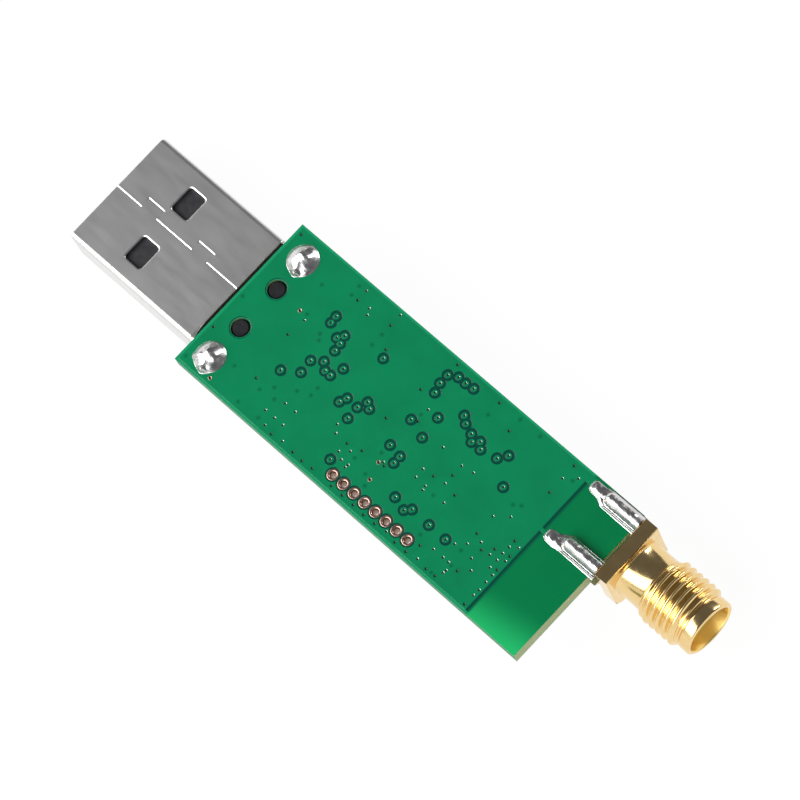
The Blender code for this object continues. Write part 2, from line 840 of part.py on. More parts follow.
def add_crystal(materials):
    place, (length, width) = CRYSTAL
    add_chip(
        "crystal_base", place, (length, width, CRYSTAL_BASE), materials["ceramic"]
    )
    x, y, z = below_board(place, CRYSTAL_BASE)
    lid_z = z - CRYSTAL_BASE / 2 - SEAT / 2 - CRYSTAL_LID / 2
    lid = box_shape((length - 0.4, width - 0.4, CRYSTAL_LID))
    bmesh.ops.bevel(lid, geom=lid.edges, offset=0.05, segments=1, affect="EDGES")
    add_piece("crystal_lid", lid, materials["stamped_steel"], (x, y, lid_z))


def add_chips(materials):
    add_chip("radio_chip", *RADIO_CHIP, materials["chip_epoxy"])
    add_chip("voltage_regulator", *REGULATOR, materials["chip_epoxy"])
    kinds = {
        "capacitor": "ceramic",
        "resistor": "chip_epoxy",
        "inductor": "ferrite",
        "balun": "ceramic",
        "ferrite": "ferrite",
    }
    for name, (place, size) in CHIP_PARTS.items():
        add_chip(name, place, size, materials[kinds[name.split("_")[0]]])


def build():
    clear_scene()
    make_board_frame()
    materials = {name: make_material(name) for name in MATERIALS}
    add_circuit_board(materials)
    add_usb_shell(materials)
    add_usb_insulator(materials)
    add_usb_contacts(materials)
    add_shell_solder(materials)
    add_jack(materials)
    add_jack_solder(materials)
    for side, place in BUTTON_PLACES.items():
        add_button(side, place, materials)
    add_debug_header(materials)
    add_leds(materials)
    add_crystal(materials)
    add_chips(materials)


build()
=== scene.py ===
import math

import bmesh
import bpy
import numpy as np
from mathutils import Matrix, Vector, noise
from mathutils.geometry import delaunay_2d_cdt


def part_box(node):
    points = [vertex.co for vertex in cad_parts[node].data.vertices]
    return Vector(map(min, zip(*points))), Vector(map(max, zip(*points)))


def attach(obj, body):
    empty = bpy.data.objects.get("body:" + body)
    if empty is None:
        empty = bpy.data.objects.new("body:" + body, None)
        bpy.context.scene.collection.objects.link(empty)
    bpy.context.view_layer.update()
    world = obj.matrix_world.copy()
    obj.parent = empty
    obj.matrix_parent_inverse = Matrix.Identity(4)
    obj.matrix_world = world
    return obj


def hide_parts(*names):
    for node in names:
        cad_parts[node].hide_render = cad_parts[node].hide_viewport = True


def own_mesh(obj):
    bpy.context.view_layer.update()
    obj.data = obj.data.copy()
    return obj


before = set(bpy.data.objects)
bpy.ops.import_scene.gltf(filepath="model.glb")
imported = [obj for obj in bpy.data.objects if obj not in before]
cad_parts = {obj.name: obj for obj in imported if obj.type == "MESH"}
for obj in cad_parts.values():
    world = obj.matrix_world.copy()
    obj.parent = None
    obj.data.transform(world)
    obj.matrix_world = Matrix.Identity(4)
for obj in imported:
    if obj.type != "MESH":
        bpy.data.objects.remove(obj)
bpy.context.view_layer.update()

MM = 0.001
BODY = "stick"

# Lengths are in millimetres, in board coordinates: they start at the middle of the board's
# plug-end edge, on the solder side. +X runs to the jack, +Z out of the solder side.
BOARD_LOW, BOARD_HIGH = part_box("circuit_board")
ORIGIN = Vector((BOARD_LOW.x, (BOARD_LOW.y + BOARD_HIGH.y) / 2, BOARD_HIGH.z))


def box_mm(node):
    """A CAD node's lowest and highest corner in board coordinates."""
    low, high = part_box(node)
    return (low - ORIGIN) / MM, (high - ORIGIN) / MM


BOARD_LENGTH, HALF_WIDTH, _ = box_mm("circuit_board")[1]
UNDERSIDE = box_mm("circuit_board")[0].z

# Board faces
MASK = 0.06  # thickness of each face's layer of copper and solder mask
STEP = 0.022  # how far the mask dips where there is no copper under it
POUR_RIM = 0.25
POUR_END = 34.72
PAD_RADIUS = 0.26
CLEARANCE_RADIUS = 0.57
HOLE_ROW = [(17.9 + 1.27 * i, -6.55) for i in range(8)]
HOLE_PAD_RADIUS = 0.54
HOLE_CLEARANCE = 0.70
HOLE_RADIUS = 0.3
PEG_PLACES = [(2.45, -2.27), (2.45, 2.27)]
PEG_HOLE_RADIUS = 0.9
PEG_LIT_RIM = 0.955  # outer edge of a light ring round each peg hole: painted light for the hole's lit wall
PEG_RING = 1.05

CLEARED_VIAS = [
    # supply
    (8.2, 3.85), (8.25, 3.15), (10.0, 3.05), (9.6, 2.5), (10.2, 2.3), (10.3, 1.55),
    (12.0, 0.85), (10.25, 0.25), (9.3, -0.45), (10.9, -0.3), (11.55, -0.3),
    (9.4, -1.75), (7.9, -2.75),
    # left of the header
    (14.0, 3.75), (14.1, -0.85), (13.8, -1.5), (15.7, 0.05), (16.25, -0.3),
    (15.35, -0.85), (15.4, -2.1), (16.8, -5.7),
    # header
    (19.3, 6.25), (19.3, 5.3), (19.55, 4.4), (20.15, 6.7), (21.0, 6.7), (21.85, 6.8),
    (21.3, 2.95), (19.65, 1.35), (21.5, 0.8), (19.85, -1.45), (21.2, -1.65), (21.2, -2.4),
    # radio
    (22.9, 4.55), (23.5, 4.1), (24.5, 3.75), (25.0, 3.25), (25.55, 3.75), (26.05, 3.25),
    (27.65, 3.6), (28.25, 4.4), (29.8, 2.1), (23.4, -4.5), (24.75, -4.85), (25.25, -4.35),
    (27.3, -4.4), (29.25, -4.4),
]
OPEN_VIAS = [
    # supply and plug end
    (8.6, 6.1), (12.4, 6.3), (6.1, -0.05), (0.6, -3.75), (0.6, 7.25), (6.75, -4.65),
    (11.3, -7.4), (13.85, -7.35), (13.6, 4.45),
    # bottom edge
    (15.0, -7.4), (16.15, -7.3), (18.5, -7.35), (19.8, -7.35), (21.1, -7.35), (22.4, -7.4),
    (23.65, -7.35), (26.1, -7.4), (27.4, -7.4), (27.95, -6.2), (29.75, -7.35),
    (30.75, -7.3), (34.35, -7.45),
    # header and radio
    (19.3, 7.45), (17.9, 0.05), (18.35, -3.4), (16.9, -3.75), (26.75, 6.0), (18.4, 3.8),
    (20.2, 1.6), (20.75, -3.15), (25.8, 0.05), (24.6, -1.05), (27.15, -1.1), (24.4, 7.3),
    # antenna field
    (33.1, 7.35), (33.1, 4.3), (33.8, -0.7), (34.4, -1.95), (30.9, -2.3), (32.2, -3.1),
    (33.0, -2.3), (34.4, -3.5), (31.9, -5.75),
]
FILLED_VIAS = [
    # supply
    (8.6, 7.2), (9.9, 6.2), (10.2, 5.65), (12.4, 7.5), (6.3, 1.8), (10.3, -4.65),
    (11.5, -4.65), (9.4, -6.2), (10.5, -6.2), (11.5, -6.2), (10.3, -7.2), (12.5, -7.25),
    # left button and header
    (15.05, -3.1), (15.55, -3.75), (17.6, -4.1), (16.85, -4.75), (17.55, -5.15),
    (18.3, -5.1), (18.25, -5.4), (20.15, 2.9), (20.45, -2.95),
    # radio's heat spreader
    (23.45, 1.3), (25.8, 1.15), (27.0, 1.35), (25.8, -0.9), (23.45, -1.2), (23.5, -2.1),
    (24.65, -2.15), (24.75, -2.55), (26.9, -2.2), (24.9, -7.2),
    # antenna field
    (34.15, 6.75), (33.1, 5.9), (32.1, 0.6), (30.9, -0.35), (33.8, -1.4), (33.75, -2.15),
    (33.8, -2.9), (33.8, -3.75), (34.45, -0.95), (34.4, -2.5), (34.4, -4.1), (34.4, -4.9),
    (34.45, -5.75), (34.4, -6.4), (31.7, -2.65), (33.0, -2.95), (30.9, -3.5), (30.1, -4.2),
    (32.05, -4.2), (32.75, -5.0), (29.05, -5.7), (30.15, -5.7), (30.8, -5.7), (31.15, -6.35),
    (31.1, -6.65), (28.6, -7.2),
]
FAINT_VIAS = [
    (0.6, -0.1), (0.6, -7.2), (5.2, 5.1), (7.8, 7.1), (7.85, 6.1), (8.55, 1.3), (8.2, 1.8),
    (6.1, 2.35), (4.5, -5.1), (7.7, -5.2), (8.55, -4.25), (7.05, -7.2), (9.4, -7.1),
    (9.3, -5.0), (10.3, -3.2), (11.5, -1.85), (11.5, -2.7), (12.4, 5.2), (12.4, 4.0),
    (18.3, -4.25), (19.75, -2.45), (20.0, -4.7), (20.7, -5.5), (24.4, 5.9), (26.8, 7.35),
    (25.75, -2.3), (29.1, 7.35), (33.9, 6.3), (32.1, 1.9), (31.5, 1.5), (30.9, -4.25),
    (31.2, -5.75), (30.3, -7.3), (27.3, -5.5), (20.0, 2.2),
]
RINGED_VIAS = [(5.4, 2.2), (20.15, -3.2), (20.65, -4.8), (3.65, -7.25)]

# USB plug
SHELL_LOW, SHELL_HIGH = box_mm("usb_shell")
PLUG_Y = (SHELL_LOW.y + SHELL_HIGH.y) / 2
PLUG_WIDTH = SHELL_HIGH.y - SHELL_LOW.y
PLUG_BOTTOM = SHELL_LOW.z
PLUG_HEIGHT = UNDERSIDE - PLUG_BOTTOM
PLUG_FRONT = SHELL_LOW.x
PLUG_REAR = SHELL_HIGH.x
SHEET = 0.3
SHELL_CORNER = 0.5
SHELL_LIP = -1.0
WINDOW_X = -9.85
WINDOW_SPREAD = 2.94
WINDOW_SIZE = (2.0, 2.6)
WINDOW_CORNER = 0.32
SEAM_STEP = 1.0
SEAM_TABS = ((-12.95, -11.05), (-6.65, -4.75))
SEAM_SLANT = 0.05
BLOB_PLACES = {"left": (2.41, -5.86), "right": (2.46, 5.72)}

# Coaxial jack
JACK_LOW, JACK_HIGH = box_mm("jack_body")
FLANGE_SIZE = 6.35
JACK_Y = JACK_HIGH.y - FLANGE_SIZE / 2
JACK_Z = JACK_LOW.z + FLANGE_SIZE / 2
FLANGE_X = box_mm("jack_insulator")[0].x - 0.1
FLANGE_THICKNESS = 1.5
FLANGE_CHAMFER = 0.6
JACK_MOUTH = JACK_HIGH.x
NECK_RADIUS = 2.6
THREAD_START = 4.25
THREAD_END = 8.25
THREAD_PITCH = 25.4 / 36
CREST_RADIUS = 3.1
ROOT_RADIUS = 2.74
LIP_START = 8.6
LIP_RADIUS = 2.72
MOUTH_RADIUS = 2.3
BORE_RADIUS = 2.1
INSULATOR_FRONT = 7.8
LEG_PLACES = {"left": JACK_Y - 2.54, "right": JACK_Y + 2.54}
LEG_WIDTH = 1.0
LEG_LENGTH = 3.8
LEG_HEIGHT = 0.6


# Materials


def make_material(name, colour, metallic=0.0, roughness=0.4):
    material = bpy.data.materials.new(name)
    material.use_nodes = True
    shader = material.node_tree.nodes["Principled BSDF"]
    shader.inputs["Base Color"].default_value = (*colour, 1.0)
    shader.inputs["Metallic"].default_value = metallic
    shader.inputs["Roughness"].default_value = roughness
    return material


def node(material, kind, **inputs):
    """Adds a shader node and sets its inputs, whose names have underscores for spaces."""
    made = material.node_tree.nodes.new(kind)
    for key, value in inputs.items():
        made.inputs[key.replace("_", " ")].default_value = value
    return made


def join(material, source, output, target, entry):
    material.node_tree.links.new(source.outputs[output], target.inputs[entry])


def shader_of(material):
    return material.node_tree.nodes["Principled BSDF"]


def grain(material, per_mm, stretch=(1.0, 1.0, 1.0), detail=3.0, seed=0.0):
    """Noise in the object's own space, with this many cells in a millimetre."""
    place = node(material, "ShaderNodeTexCoord")
    mapping = node(material, "ShaderNodeMapping")
    mapping.inputs["Scale"].default_value = [s / MM for s in stretch]
    mapping.inputs["Location"].default_value = (seed, seed * 1.7, seed * 0.6)
    texture = node(material, "ShaderNodeTexNoise", Scale=per_mm, Detail=detail)
    join(material, place, "Object", mapping, "Vector")
    join(material, mapping, "Vector", texture, "Vector")
    return texture


def spread(material, texture, low, high, entry):
    """Drives a shader input between two values by a noise."""
    ramp = node(material, "ShaderNodeMapRange", From_Min=0.3, From_Max=0.7, To_Min=low, To_Max=high)
    join(material, texture, "Fac", ramp, "Value")
    join(material, ramp, "Result", shader_of(material), entry)


def tint(material, texture, first, second):
    """Varies the base colour between two colours by a noise."""
    ramp = node(material, "ShaderNodeValToRGB")
    ramp.color_ramp.elements[0].position = 0.35
    ramp.color_ramp.elements[0].color = (*first, 1.0)
    ramp.color_ramp.elements[1].position = 0.65
    ramp.color_ramp.elements[1].color = (*second, 1.0)
    join(material, texture, "Fac", ramp, "Fac")
    join(material, ramp, "Color", shader_of(material), "Base Color")
    return ramp


def relief(material, texture, depth_mm, strength=1.0):
    """Bumps the surface by a noise of this depth."""
    bump = node(material, "ShaderNodeBump", Strength=strength, Distance=depth_mm * MM)
    join(material, texture, "Fac", bump, "Height")
    join(material, bump, "Normal", shader_of(material), "Normal")


def surface(name, first, second, metallic, rough, per_mm, depth_mm, stretch=(1.0, 1.0, 1.0)):
    """A material whose colour, roughness and relief vary by noise in the object's own space."""
    material = make_material(name, first, metallic)
    tint(material, grain(material, per_mm * 0.35, stretch, seed=1.0), first, second)
    spread(material, grain(material, per_mm * 0.6, stretch, seed=2.0), *rough, "Roughness")
    relief(material, grain(material, per_mm, stretch, seed=3.0), depth_mm)
    return material


MASK_GREEN = (0.002, 0.205, 0.080)
MASK_GREEN_2 = (0.002, 0.188, 0.074)
BARE_GREEN = (0.0, 0.055, 0.036)
OPEN_GREEN = (0.0, 0.165, 0.052)
# painted light: the open field's colour at the board's free corner
CORNER_LIT_GREEN = (0.018, 0.50, 0.148)
# lighter rim along the board's edges; round the peg holes it is painted light for their lit walls
RIM_GREEN = (0.008, 0.27, 0.115)
SHADED_SIDE_GREEN = (0.03, 0.16, 0.07)


CORNER_SLANT = 0.15  # how much a place further along the board counts towards the corner
CORNER_START = 0.0072  # metres from the board's middle line, where the painted light on the field starts
CORNER_FULL = 0.0127


def make_mask_material():
    """Solder mask: a clear green coat, darker over bare laminate, nearly black in open vias.

    The mesh's own attribute says where: red is bare laminate in the narrow clearances and along
    the pour's end, where its darkness is also painted shadow of the pour's step; green is the open
    field round the antenna; blue is the painted shadow in a via's mouth; and alpha is the lighter
    rim along the board's edges and round the peg holes, where it is painted light for their lit
    walls. The open field brightens towards the board's free corner, as painted light."""
    material = make_material("solder_mask", MASK_GREEN)
    shader = shader_of(material)
    shader.inputs["IOR"].default_value = 1.45
    shader.inputs["Specular IOR Level"].default_value = 0.4
    mottle = grain(material, 0.35, seed=4.0)
    coat = tint(material, mottle, MASK_GREEN, MASK_GREEN_2)
    look = node(material, "ShaderNodeVertexColor")
    look.layer_name = "look"
    parts = node(material, "ShaderNodeSeparateColor")
    join(material, look, "Color", parts, "Color")

    place = node(material, "ShaderNodeTexCoord")
    axes = node(material, "ShaderNodeSeparateXYZ")
    join(material, place, "Object", axes, "Vector")
    towards_corner = node(material, "ShaderNodeMath")
    towards_corner.operation = "MULTIPLY_ADD"
    join(material, axes, "X", towards_corner, 0)
    backwards = node(material, "ShaderNodeMath")
    backwards.operation = "MULTIPLY"
    backwards.inputs[1].default_value = -1.0
    join(material, axes, "Y", backwards, 0)
    towards_corner.inputs[1].default_value = CORNER_SLANT
    join(material, backwards, "Value", towards_corner, 2)
    corner = node(material, "ShaderNodeMapRange", From_Min=CORNER_START, From_Max=CORNER_FULL)
    corner.interpolation_type = "SMOOTHSTEP"
    join(material, towards_corner, "Value", corner, "Value")

    def mix(factor, output, first, second):
        mixer = node(material, "ShaderNodeMix")
        mixer.data_type = "RGBA"
        join(material, factor, output, mixer, 0)
        for value, entry in ((first, 6), (second, 7)):
            if isinstance(value, tuple):
                mixer.inputs[entry].default_value = (*value, 1.0)
            else:
                material.node_tree.links.new(value, mixer.inputs[entry])
        return mixer.outputs[2]

    # painted light: the open field gets lighter towards the board's free corner
    field = mix(corner, "Result", OPEN_GREEN, CORNER_LIT_GREEN)
    base = mix(parts, "Green", coat.outputs["Color"], field)
    base = mix(look, "Alpha", base, RIM_GREEN)
    base = mix(parts, "Red", base, BARE_GREEN)
    base = mix(parts, "Blue", base, (0.0, 0.012, 0.008))
    material.node_tree.links.new(base, shader.inputs["Base Color"])
    spread(material, grain(material, 0.8, seed=5.0), 0.16, 0.24, "Roughness")
    relief(material, grain(material, 0.5, seed=6.0), 0.0015)
    return material


def make_laminate_material():
    """The sawn edge of glass-epoxy: pale, faint layers along the board, long sides in painted
    shade.
    """
    material = make_material("laminate_edge", (0.42, 0.48, 0.24), roughness=0.6)
    layers = grain(material, 1.0, (0.4, 0.4, 9.0), seed=7.0)
    sawn = tint(material, layers, (0.30, 0.40, 0.17), (0.44, 0.50, 0.26))
    place = node(material, "ShaderNodeTexCoord")
    axes = node(material, "ShaderNodeSeparateXYZ")
    join(material, place, "Normal", axes, "Vector")
    # painted shade: faces turned towards ±Y take the darker green
    sideways = node(material, "ShaderNodeMath")
    sideways.operation = "ABSOLUTE"
    join(material, axes, "Y", sideways, 0)
    mixer = node(material, "ShaderNodeMix")
    mixer.data_type = "RGBA"
    join(material, sideways, "Value", mixer, 0)
    join(material, sawn, "Color", mixer, 6)
    mixer.inputs[7].default_value = (*SHADED_SIDE_GREEN, 1.0)
    material.node_tree.links.new(mixer.outputs[2], shader_of(material).inputs["Base Color"])
    relief(material, grain(material, 6.0, seed=8.0), 0.02)
    return material


BLACK_PLASTIC = ((0.014, 0.014, 0.016), (0.022, 0.022, 0.025))


def make_insulator_material():
    """Black plastic, whose pegs end hollow in the board and shine less there: painted shade."""
    material = surface(
        "insulator_plastic", *BLACK_PLASTIC, 0.0, (0.4, 0.6), 5.0, 0.01
    )
    place = node(material, "ShaderNodeTexCoord")
    axes = node(material, "ShaderNodeSeparateXYZ")
    join(material, place, "Object", axes, "Vector")
    top = ORIGIN.z
    # painted shade: less shine towards the peg ends, which sit sunk in the board's holes
    peg_end_shade = node(material, "ShaderNodeMapRange", From_Min=top - 1.5 * MM, From_Max=top - 0.5 * MM)
    peg_end_shade.inputs["To Min"].default_value = 0.5
    peg_end_shade.inputs["To Max"].default_value = 0.08
    join(material, axes, "Z", peg_end_shade, "Value")
    join(material, peg_end_shade, "Result", shader_of(material), "Specular IOR Level")
    return material


def make_materials():
    made = {
        "insulator": make_insulator_material(),
        "mask": make_mask_material(),
        "laminate": make_laminate_material(),
        "copper": surface(
            "bare_copper", (0.66, 0.45, 0.36), (0.54, 0.34, 0.26), 1.0, (0.22, 0.36), 5.0, 0.008
        ),
        # painted shade: a darker copper for the walls inside the plated holes
        "barrel_copper_shaded": surface(
            "barrel_copper_shaded", (0.34, 0.20, 0.14), (0.26, 0.15, 0.10), 1.0, (0.3, 0.45), 5.0, 0.006
        ),
        "steel": surface(
            "shell_steel", (0.74, 0.735, 0.73), (0.71, 0.705, 0.70), 1.0, (0.33, 0.37), 2.0, 0.001,
            (0.25, 1.0, 1.0),
        ),
        "black": surface(
            "black_plastic", *BLACK_PLASTIC, 0.0, (0.4, 0.6), 5.0, 0.01
        ),
        "gold": surface(
            "jack_gold", (0.84, 0.61, 0.28), (0.88, 0.65, 0.31), 1.0, (0.12, 0.20), 2.5, 0.002
        ),
        # painted light: a brighter, more orange gold inside the bore, for light bouncing in it
        "bore_gold_lit": surface(
            "bore_gold_lit", (0.98, 0.72, 0.24), (0.98, 0.76, 0.28), 1.0, (0.38, 0.5), 3.0, 0.003
        ),
        "contact_gold": surface(
            "contact_gold", (0.90, 0.62, 0.26), (0.84, 0.57, 0.24), 1.0, (0.2, 0.3), 3.0, 0.002
        ),
        "solder": surface(
            "tin_solder", (0.74, 0.73, 0.73), (0.58, 0.56, 0.56), 1.0, (0.16, 0.36), 2.6, 0.012
        ),
        "via_tin": surface(
            "via_tin", (0.52, 0.62, 0.57), (0.42, 0.52, 0.47), 1.0, (0.1, 0.2), 4.0, 0.002
        ),
        "white_plastic": surface(
            "white_plastic", (0.80, 0.80, 0.77), (0.72, 0.72, 0.68), 0.0, (0.35, 0.5), 3.0, 0.006
        ),
        "epoxy": surface(
            "chip_epoxy", (0.018, 0.018, 0.020), (0.028, 0.028, 0.030), 0.0, (0.5, 0.65), 9.0, 0.008
        ),
        "ceramic": surface(
            "ceramic", (0.50, 0.40, 0.28), (0.42, 0.33, 0.22), 0.0, (0.4, 0.55), 4.0, 0.004
        ),
        "ferrite": surface(
            "ferrite", (0.06, 0.06, 0.065), (0.10, 0.10, 0.105), 0.0, (0.45, 0.6), 7.0, 0.008
        ),
        "stamped": surface(
            "stamped_steel", (0.66, 0.66, 0.64), (0.58, 0.58, 0.57), 1.0, (0.22, 0.34), 3.0, 0.002,
            (0.3, 1.0, 1.0),
        ),
        "lens": surface(
            "led_lens", (0.74, 0.80, 0.62), (0.80, 0.84, 0.70), 0.0, (0.08, 0.16), 2.0, 0.003
        ),
        "ink": surface(
            "marking_ink", (0.78, 0.79, 0.76), (0.68, 0.70, 0.66), 0.0, (0.5, 0.65), 6.0, 0.004
        ),
    }
    return made


MATERIALS = make_materials()


# Making pieces


def add_piece(name, mesh, materials, replaces=(), body=BODY, smooth=40.0):
    """Makes a piece from a mesh in board coordinates, and lets it ride on its CAD body."""
    mesh.transform(Matrix.Translation(ORIGIN) @ Matrix.Scale(MM, 4))
    for material in materials:
        mesh.materials.append(MATERIALS[material])
    if smooth is not None:
        mesh.shade_smooth()
        mesh.set_sharp_from_angle(angle=math.radians(smooth))
    piece = bpy.data.objects.new(name, mesh)
    bpy.context.scene.collection.objects.link(piece)
    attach(piece, body)
    if replaces:
        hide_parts(*replaces)
    return piece


def mesh_from(name, points, faces, slots=None):
    """A mesh from lists, with outward faces. Slots are the faces' material numbers."""
    mesh = bpy.data.meshes.new(name)
    mesh.from_pydata([tuple(p) for p in points], [], faces)
    if slots is not None:
        mesh.polygons.foreach_set("material_index", slots)
    shape = bmesh.new()
    shape.from_mesh(mesh)
    bmesh.ops.recalc_face_normals(shape, faces=shape.faces)
    shape.to_mesh(mesh)
    shape.free()
    return mesh


def smooth_step(low, high, value):
    share = np.clip((value - low) / (high - low), 0.0, 1.0)
    return share * share * (3.0 - 2.0 * share)


def lumps(x, y, per_mm, seed):
    """Smooth random values from -1 to 1 at many points."""
    return np.array([noise.noise(Vector((a * per_mm, b * per_mm, seed))) for a, b in zip(x, y)])


def circle(centre, radius, steps, squash=1.0):
    turns = [2 * math.pi * i / steps for i in range(steps)]
    return [
        (centre[0] + radius * squash * math.cos(t), centre[1] + radius * math.sin(t)) for t in turns
    ]


def rounded_rectangle(centre, size, radius, steps=4):
    points = []
    for corner in range(4):
        side_u = 1 if corner in (0, 3) else -1
        side_v = 1 if corner in (0, 1) else -1
        middle_u = centre[0] + side_u * (size[0] / 2 - radius)
        middle_v = centre[1] + side_v * (size[1] / 2 - radius)
        for step in range(steps + 1):
            angle = (corner + step / steps) * math.pi / 2
            points.append((
                middle_u + radius * math.cos(angle), middle_v + radius * math.sin(angle)
            ))
    return points


def box_distance(x, y, centre, size, radius=0.0):
    """How far points lie outside a rectangle with round corners, negative inside it."""
    over_x = np.abs(x - centre[0]) - size[0] / 2 + radius
    over_y = np.abs(y - centre[1]) - size[1] / 2 + radius
    outside = np.hypot(np.maximum(over_x, 0.0), np.maximum(over_y, 0.0))
    return outside + np.minimum(np.maximum(over_x, over_y), 0.0) - radius


def inside_loop(loop, x, y):
    """Which of many points lie inside a closed loop."""
    found = np.zeros(len(x), bool)
    for (x0, y0), (x1, y1) in zip(loop, loop[1:] + loop[:1]):
        if y0 != y1:
            crossing = x0 + (y - y0) * (x1 - x0) / (y1 - y0)
            found ^= ((y0 > y) != (y1 > y)) & (x < crossing)
    return found


def flat_place(u, v, w):
    return np.stack([u, v, w], 1)


def below_board(centre):
    """Places a sheet on the component side, so that its heights point down."""
    return lambda u, v, w: np.stack([centre[0] + u, centre[1] - v, UNDERSIDE - w], 1)


def slope_normals(place, height, u, v, side):
    """Exact normals of one face of a folded sheet."""
    step = 0.004
    along = place(u + step, v, height(u + step, v)) - place(u - step, v, height(u - step, v))
    across = place(u, v + step, height(u, v + step)) - place(u, v - step, height(u, v - step))
    normal = side * np.cross(along, across)
    return normal / np.linalg.norm(normal, axis=1, keepdims=True)


def hatch(low, high, step):
    """Fold lines in both directions over a rectangle."""
    lines = []
    for axis in (0, 1):
        count = max(1, round((high[axis] - low[axis]) / step))
        for i in range(1, count):
            at = low[axis] + (high[axis] - low[axis]) * i / count
            if axis == 0:
                lines.append(([(at, low[1]), (at, high[1])], False))
            else:
                lines.append(([(low[0], at), (high[0], at)], False))
    return lines


def sheet_mesh(name, loops, folds, upper, lower, place=flat_place, look=None, edge_slot=0):
    """A closed sheet between an outline and its holes, with points along every fold line.

    Upper and lower give the heights of its two faces, and place folds it into its final form.
    Look gives four values for each point, which its material reads."""
    points = []
    joins = []
    for line, closed in [(loop, True) for loop in loops] + folds:
        first = len(points)
        points += [Vector(p) for p in line]
        joins += [(first + i, first + i + 1) for i in range(len(line) - 1)]
        if closed:
            joins.append((len(points) - 1, first))
    flat, _, faces = delaunay_2d_cdt(points, joins, [], 0, 1e-5)[:3]
    u, v = np.array([tuple(p) for p in flat]).T
    corners = np.array(faces)
    middle_u, middle_v = u[corners].mean(1), v[corners].mean(1)
    keep = inside_loop(loops[0], middle_u, middle_v)
    for hole in loops[1:]:
        keep &= ~inside_loop(hole, middle_u, middle_v)
    used, corners = np.unique(corners[keep], return_inverse=True)
    corners = corners.reshape(-1, 3)
    u, v = u[used], v[used]
    count = len(used)
    both = np.concatenate([place(u, v, upper(u, v)), place(u, v, lower(u, v))])
    edges = {(a, b) for face in corners.tolist() for a, b in zip(face, face[1:] + face[:1])}
    walls = []
    for a, b in sorted(edges):
        if (b, a) not in edges:
            walls.append((a, a + count, b + count, b))
    faces = corners.tolist() + (corners[:, ::-1] + count).tolist() + walls
    mesh = bpy.data.meshes.new(name)
    mesh.from_pydata(both.tolist(), [], faces)
    slots = [0] * (2 * len(corners)) + [edge_slot] * len(walls)
    mesh.polygons.foreach_set("material_index", slots)
    mesh.shade_smooth()

    normals = np.concatenate(
        [slope_normals(place, upper, u, v, 1.0), slope_normals(place, lower, u, v, -1.0)]
    )
    corner_normals = [tuple(normals[i]) for face in faces[: 2 * len(corners)] for i in face]
    corner_normals += wall_normals(both, walls)
    mesh.normals_split_custom_set(corner_normals)
    if look:
        layer = mesh.color_attributes.new("look", "FLOAT_COLOR", "POINT")
        values = np.tile(np.stack(look(u, v), 1), (2, 1)).astype(np.float32)
        layer.data.foreach_set("color", values.ravel())
    return mesh


def wall_normals(points, walls):
    """Normals of a sheet's side walls, smooth where neighbours bend a little."""
    own = []
    meeting = {}
    for a, c, d, b in walls:
        normal = np.cross(points[c] - points[a], points[b] - points[a])
        normal = normal / max(np.linalg.norm(normal), 1e-12)
        own.append(normal)
        for end in (a, b):
            meeting.setdefault(end, []).append(normal)
    normals = []
    for (a, c, d, b), normal in zip(walls, own):
        ends = {}
        for end in (a, b):
            near = [other for other in meeting[end] if np.dot(other, normal) > 0.75]
            total = np.sum(near, axis=0)
            ends[end] = tuple(total / max(np.linalg.norm(total), 1e-12))
        normals += [ends[a], ends[a], ends[b], ends[b]]
    return normals


def turned_mesh(name, profile, steps, place, radius_at=None):
    """A closed ring turned round its axis from a closed profile of (along, radius) points."""
    turns = np.arange(steps) * 2 * math.pi / steps
    points = []
    for along, radius in profile:
        out = np.full(steps, radius)
        if radius_at is not None:
            out = out + radius_at(along, radius, turns)
        points += place(np.full(steps, along), out * np.cos(turns), out * np.sin(turns)).tolist()
    rows = len(profile)
    faces = []
    for row in range(rows):
        after = (row + 1) % rows
        for i in range(steps):
            j = (i + 1) % steps
            faces.append((row * steps + i, row * steps + j, after * steps + j, after * steps + i))
    return mesh_from(name, points, faces)


def block(shape, size, centre, broken, segments=2):
    """Adds a box with rounded edges to a bmesh, and returns its faces."""
    before = set(shape.faces)
    place = Matrix.Translation(centre) @ Matrix.Diagonal((*size, 1.0))
    made = bmesh.ops.create_cube(shape, size=1.0, matrix=place)
    edges = list({edge for vert in made["verts"] for edge in vert.link_edges})
    bmesh.ops.bevel(
        shape, geom=edges, offset=broken, segments=segments, affect="EDGES", profile=0.6
    )
    return [face for face in shape.faces if face not in before]


def mesh_of(name, shape):
    mesh = bpy.data.meshes.new(name)
    shape.to_mesh(mesh)
    shape.free()
    return mesh


# Board


def pour_boxes(solder_side):
    """Rectangles of copper: the big pour, the strip to the upper leg, and the short bridge."""
    top = HALF_WIDTH - POUR_RIM
    boxes = [((POUR_END + POUR_RIM) / 2, 0.0, POUR_END - POUR_RIM, 2 * top)]
    if solder_side:
        boxes.append((36.5, (7.0 + top) / 2, 7.6, top - 7.0))
        boxes.append((35.1, 1.52, 1.2, 0.3))
    return [((x, y), (length, width)) for x, y, length, width in boxes]


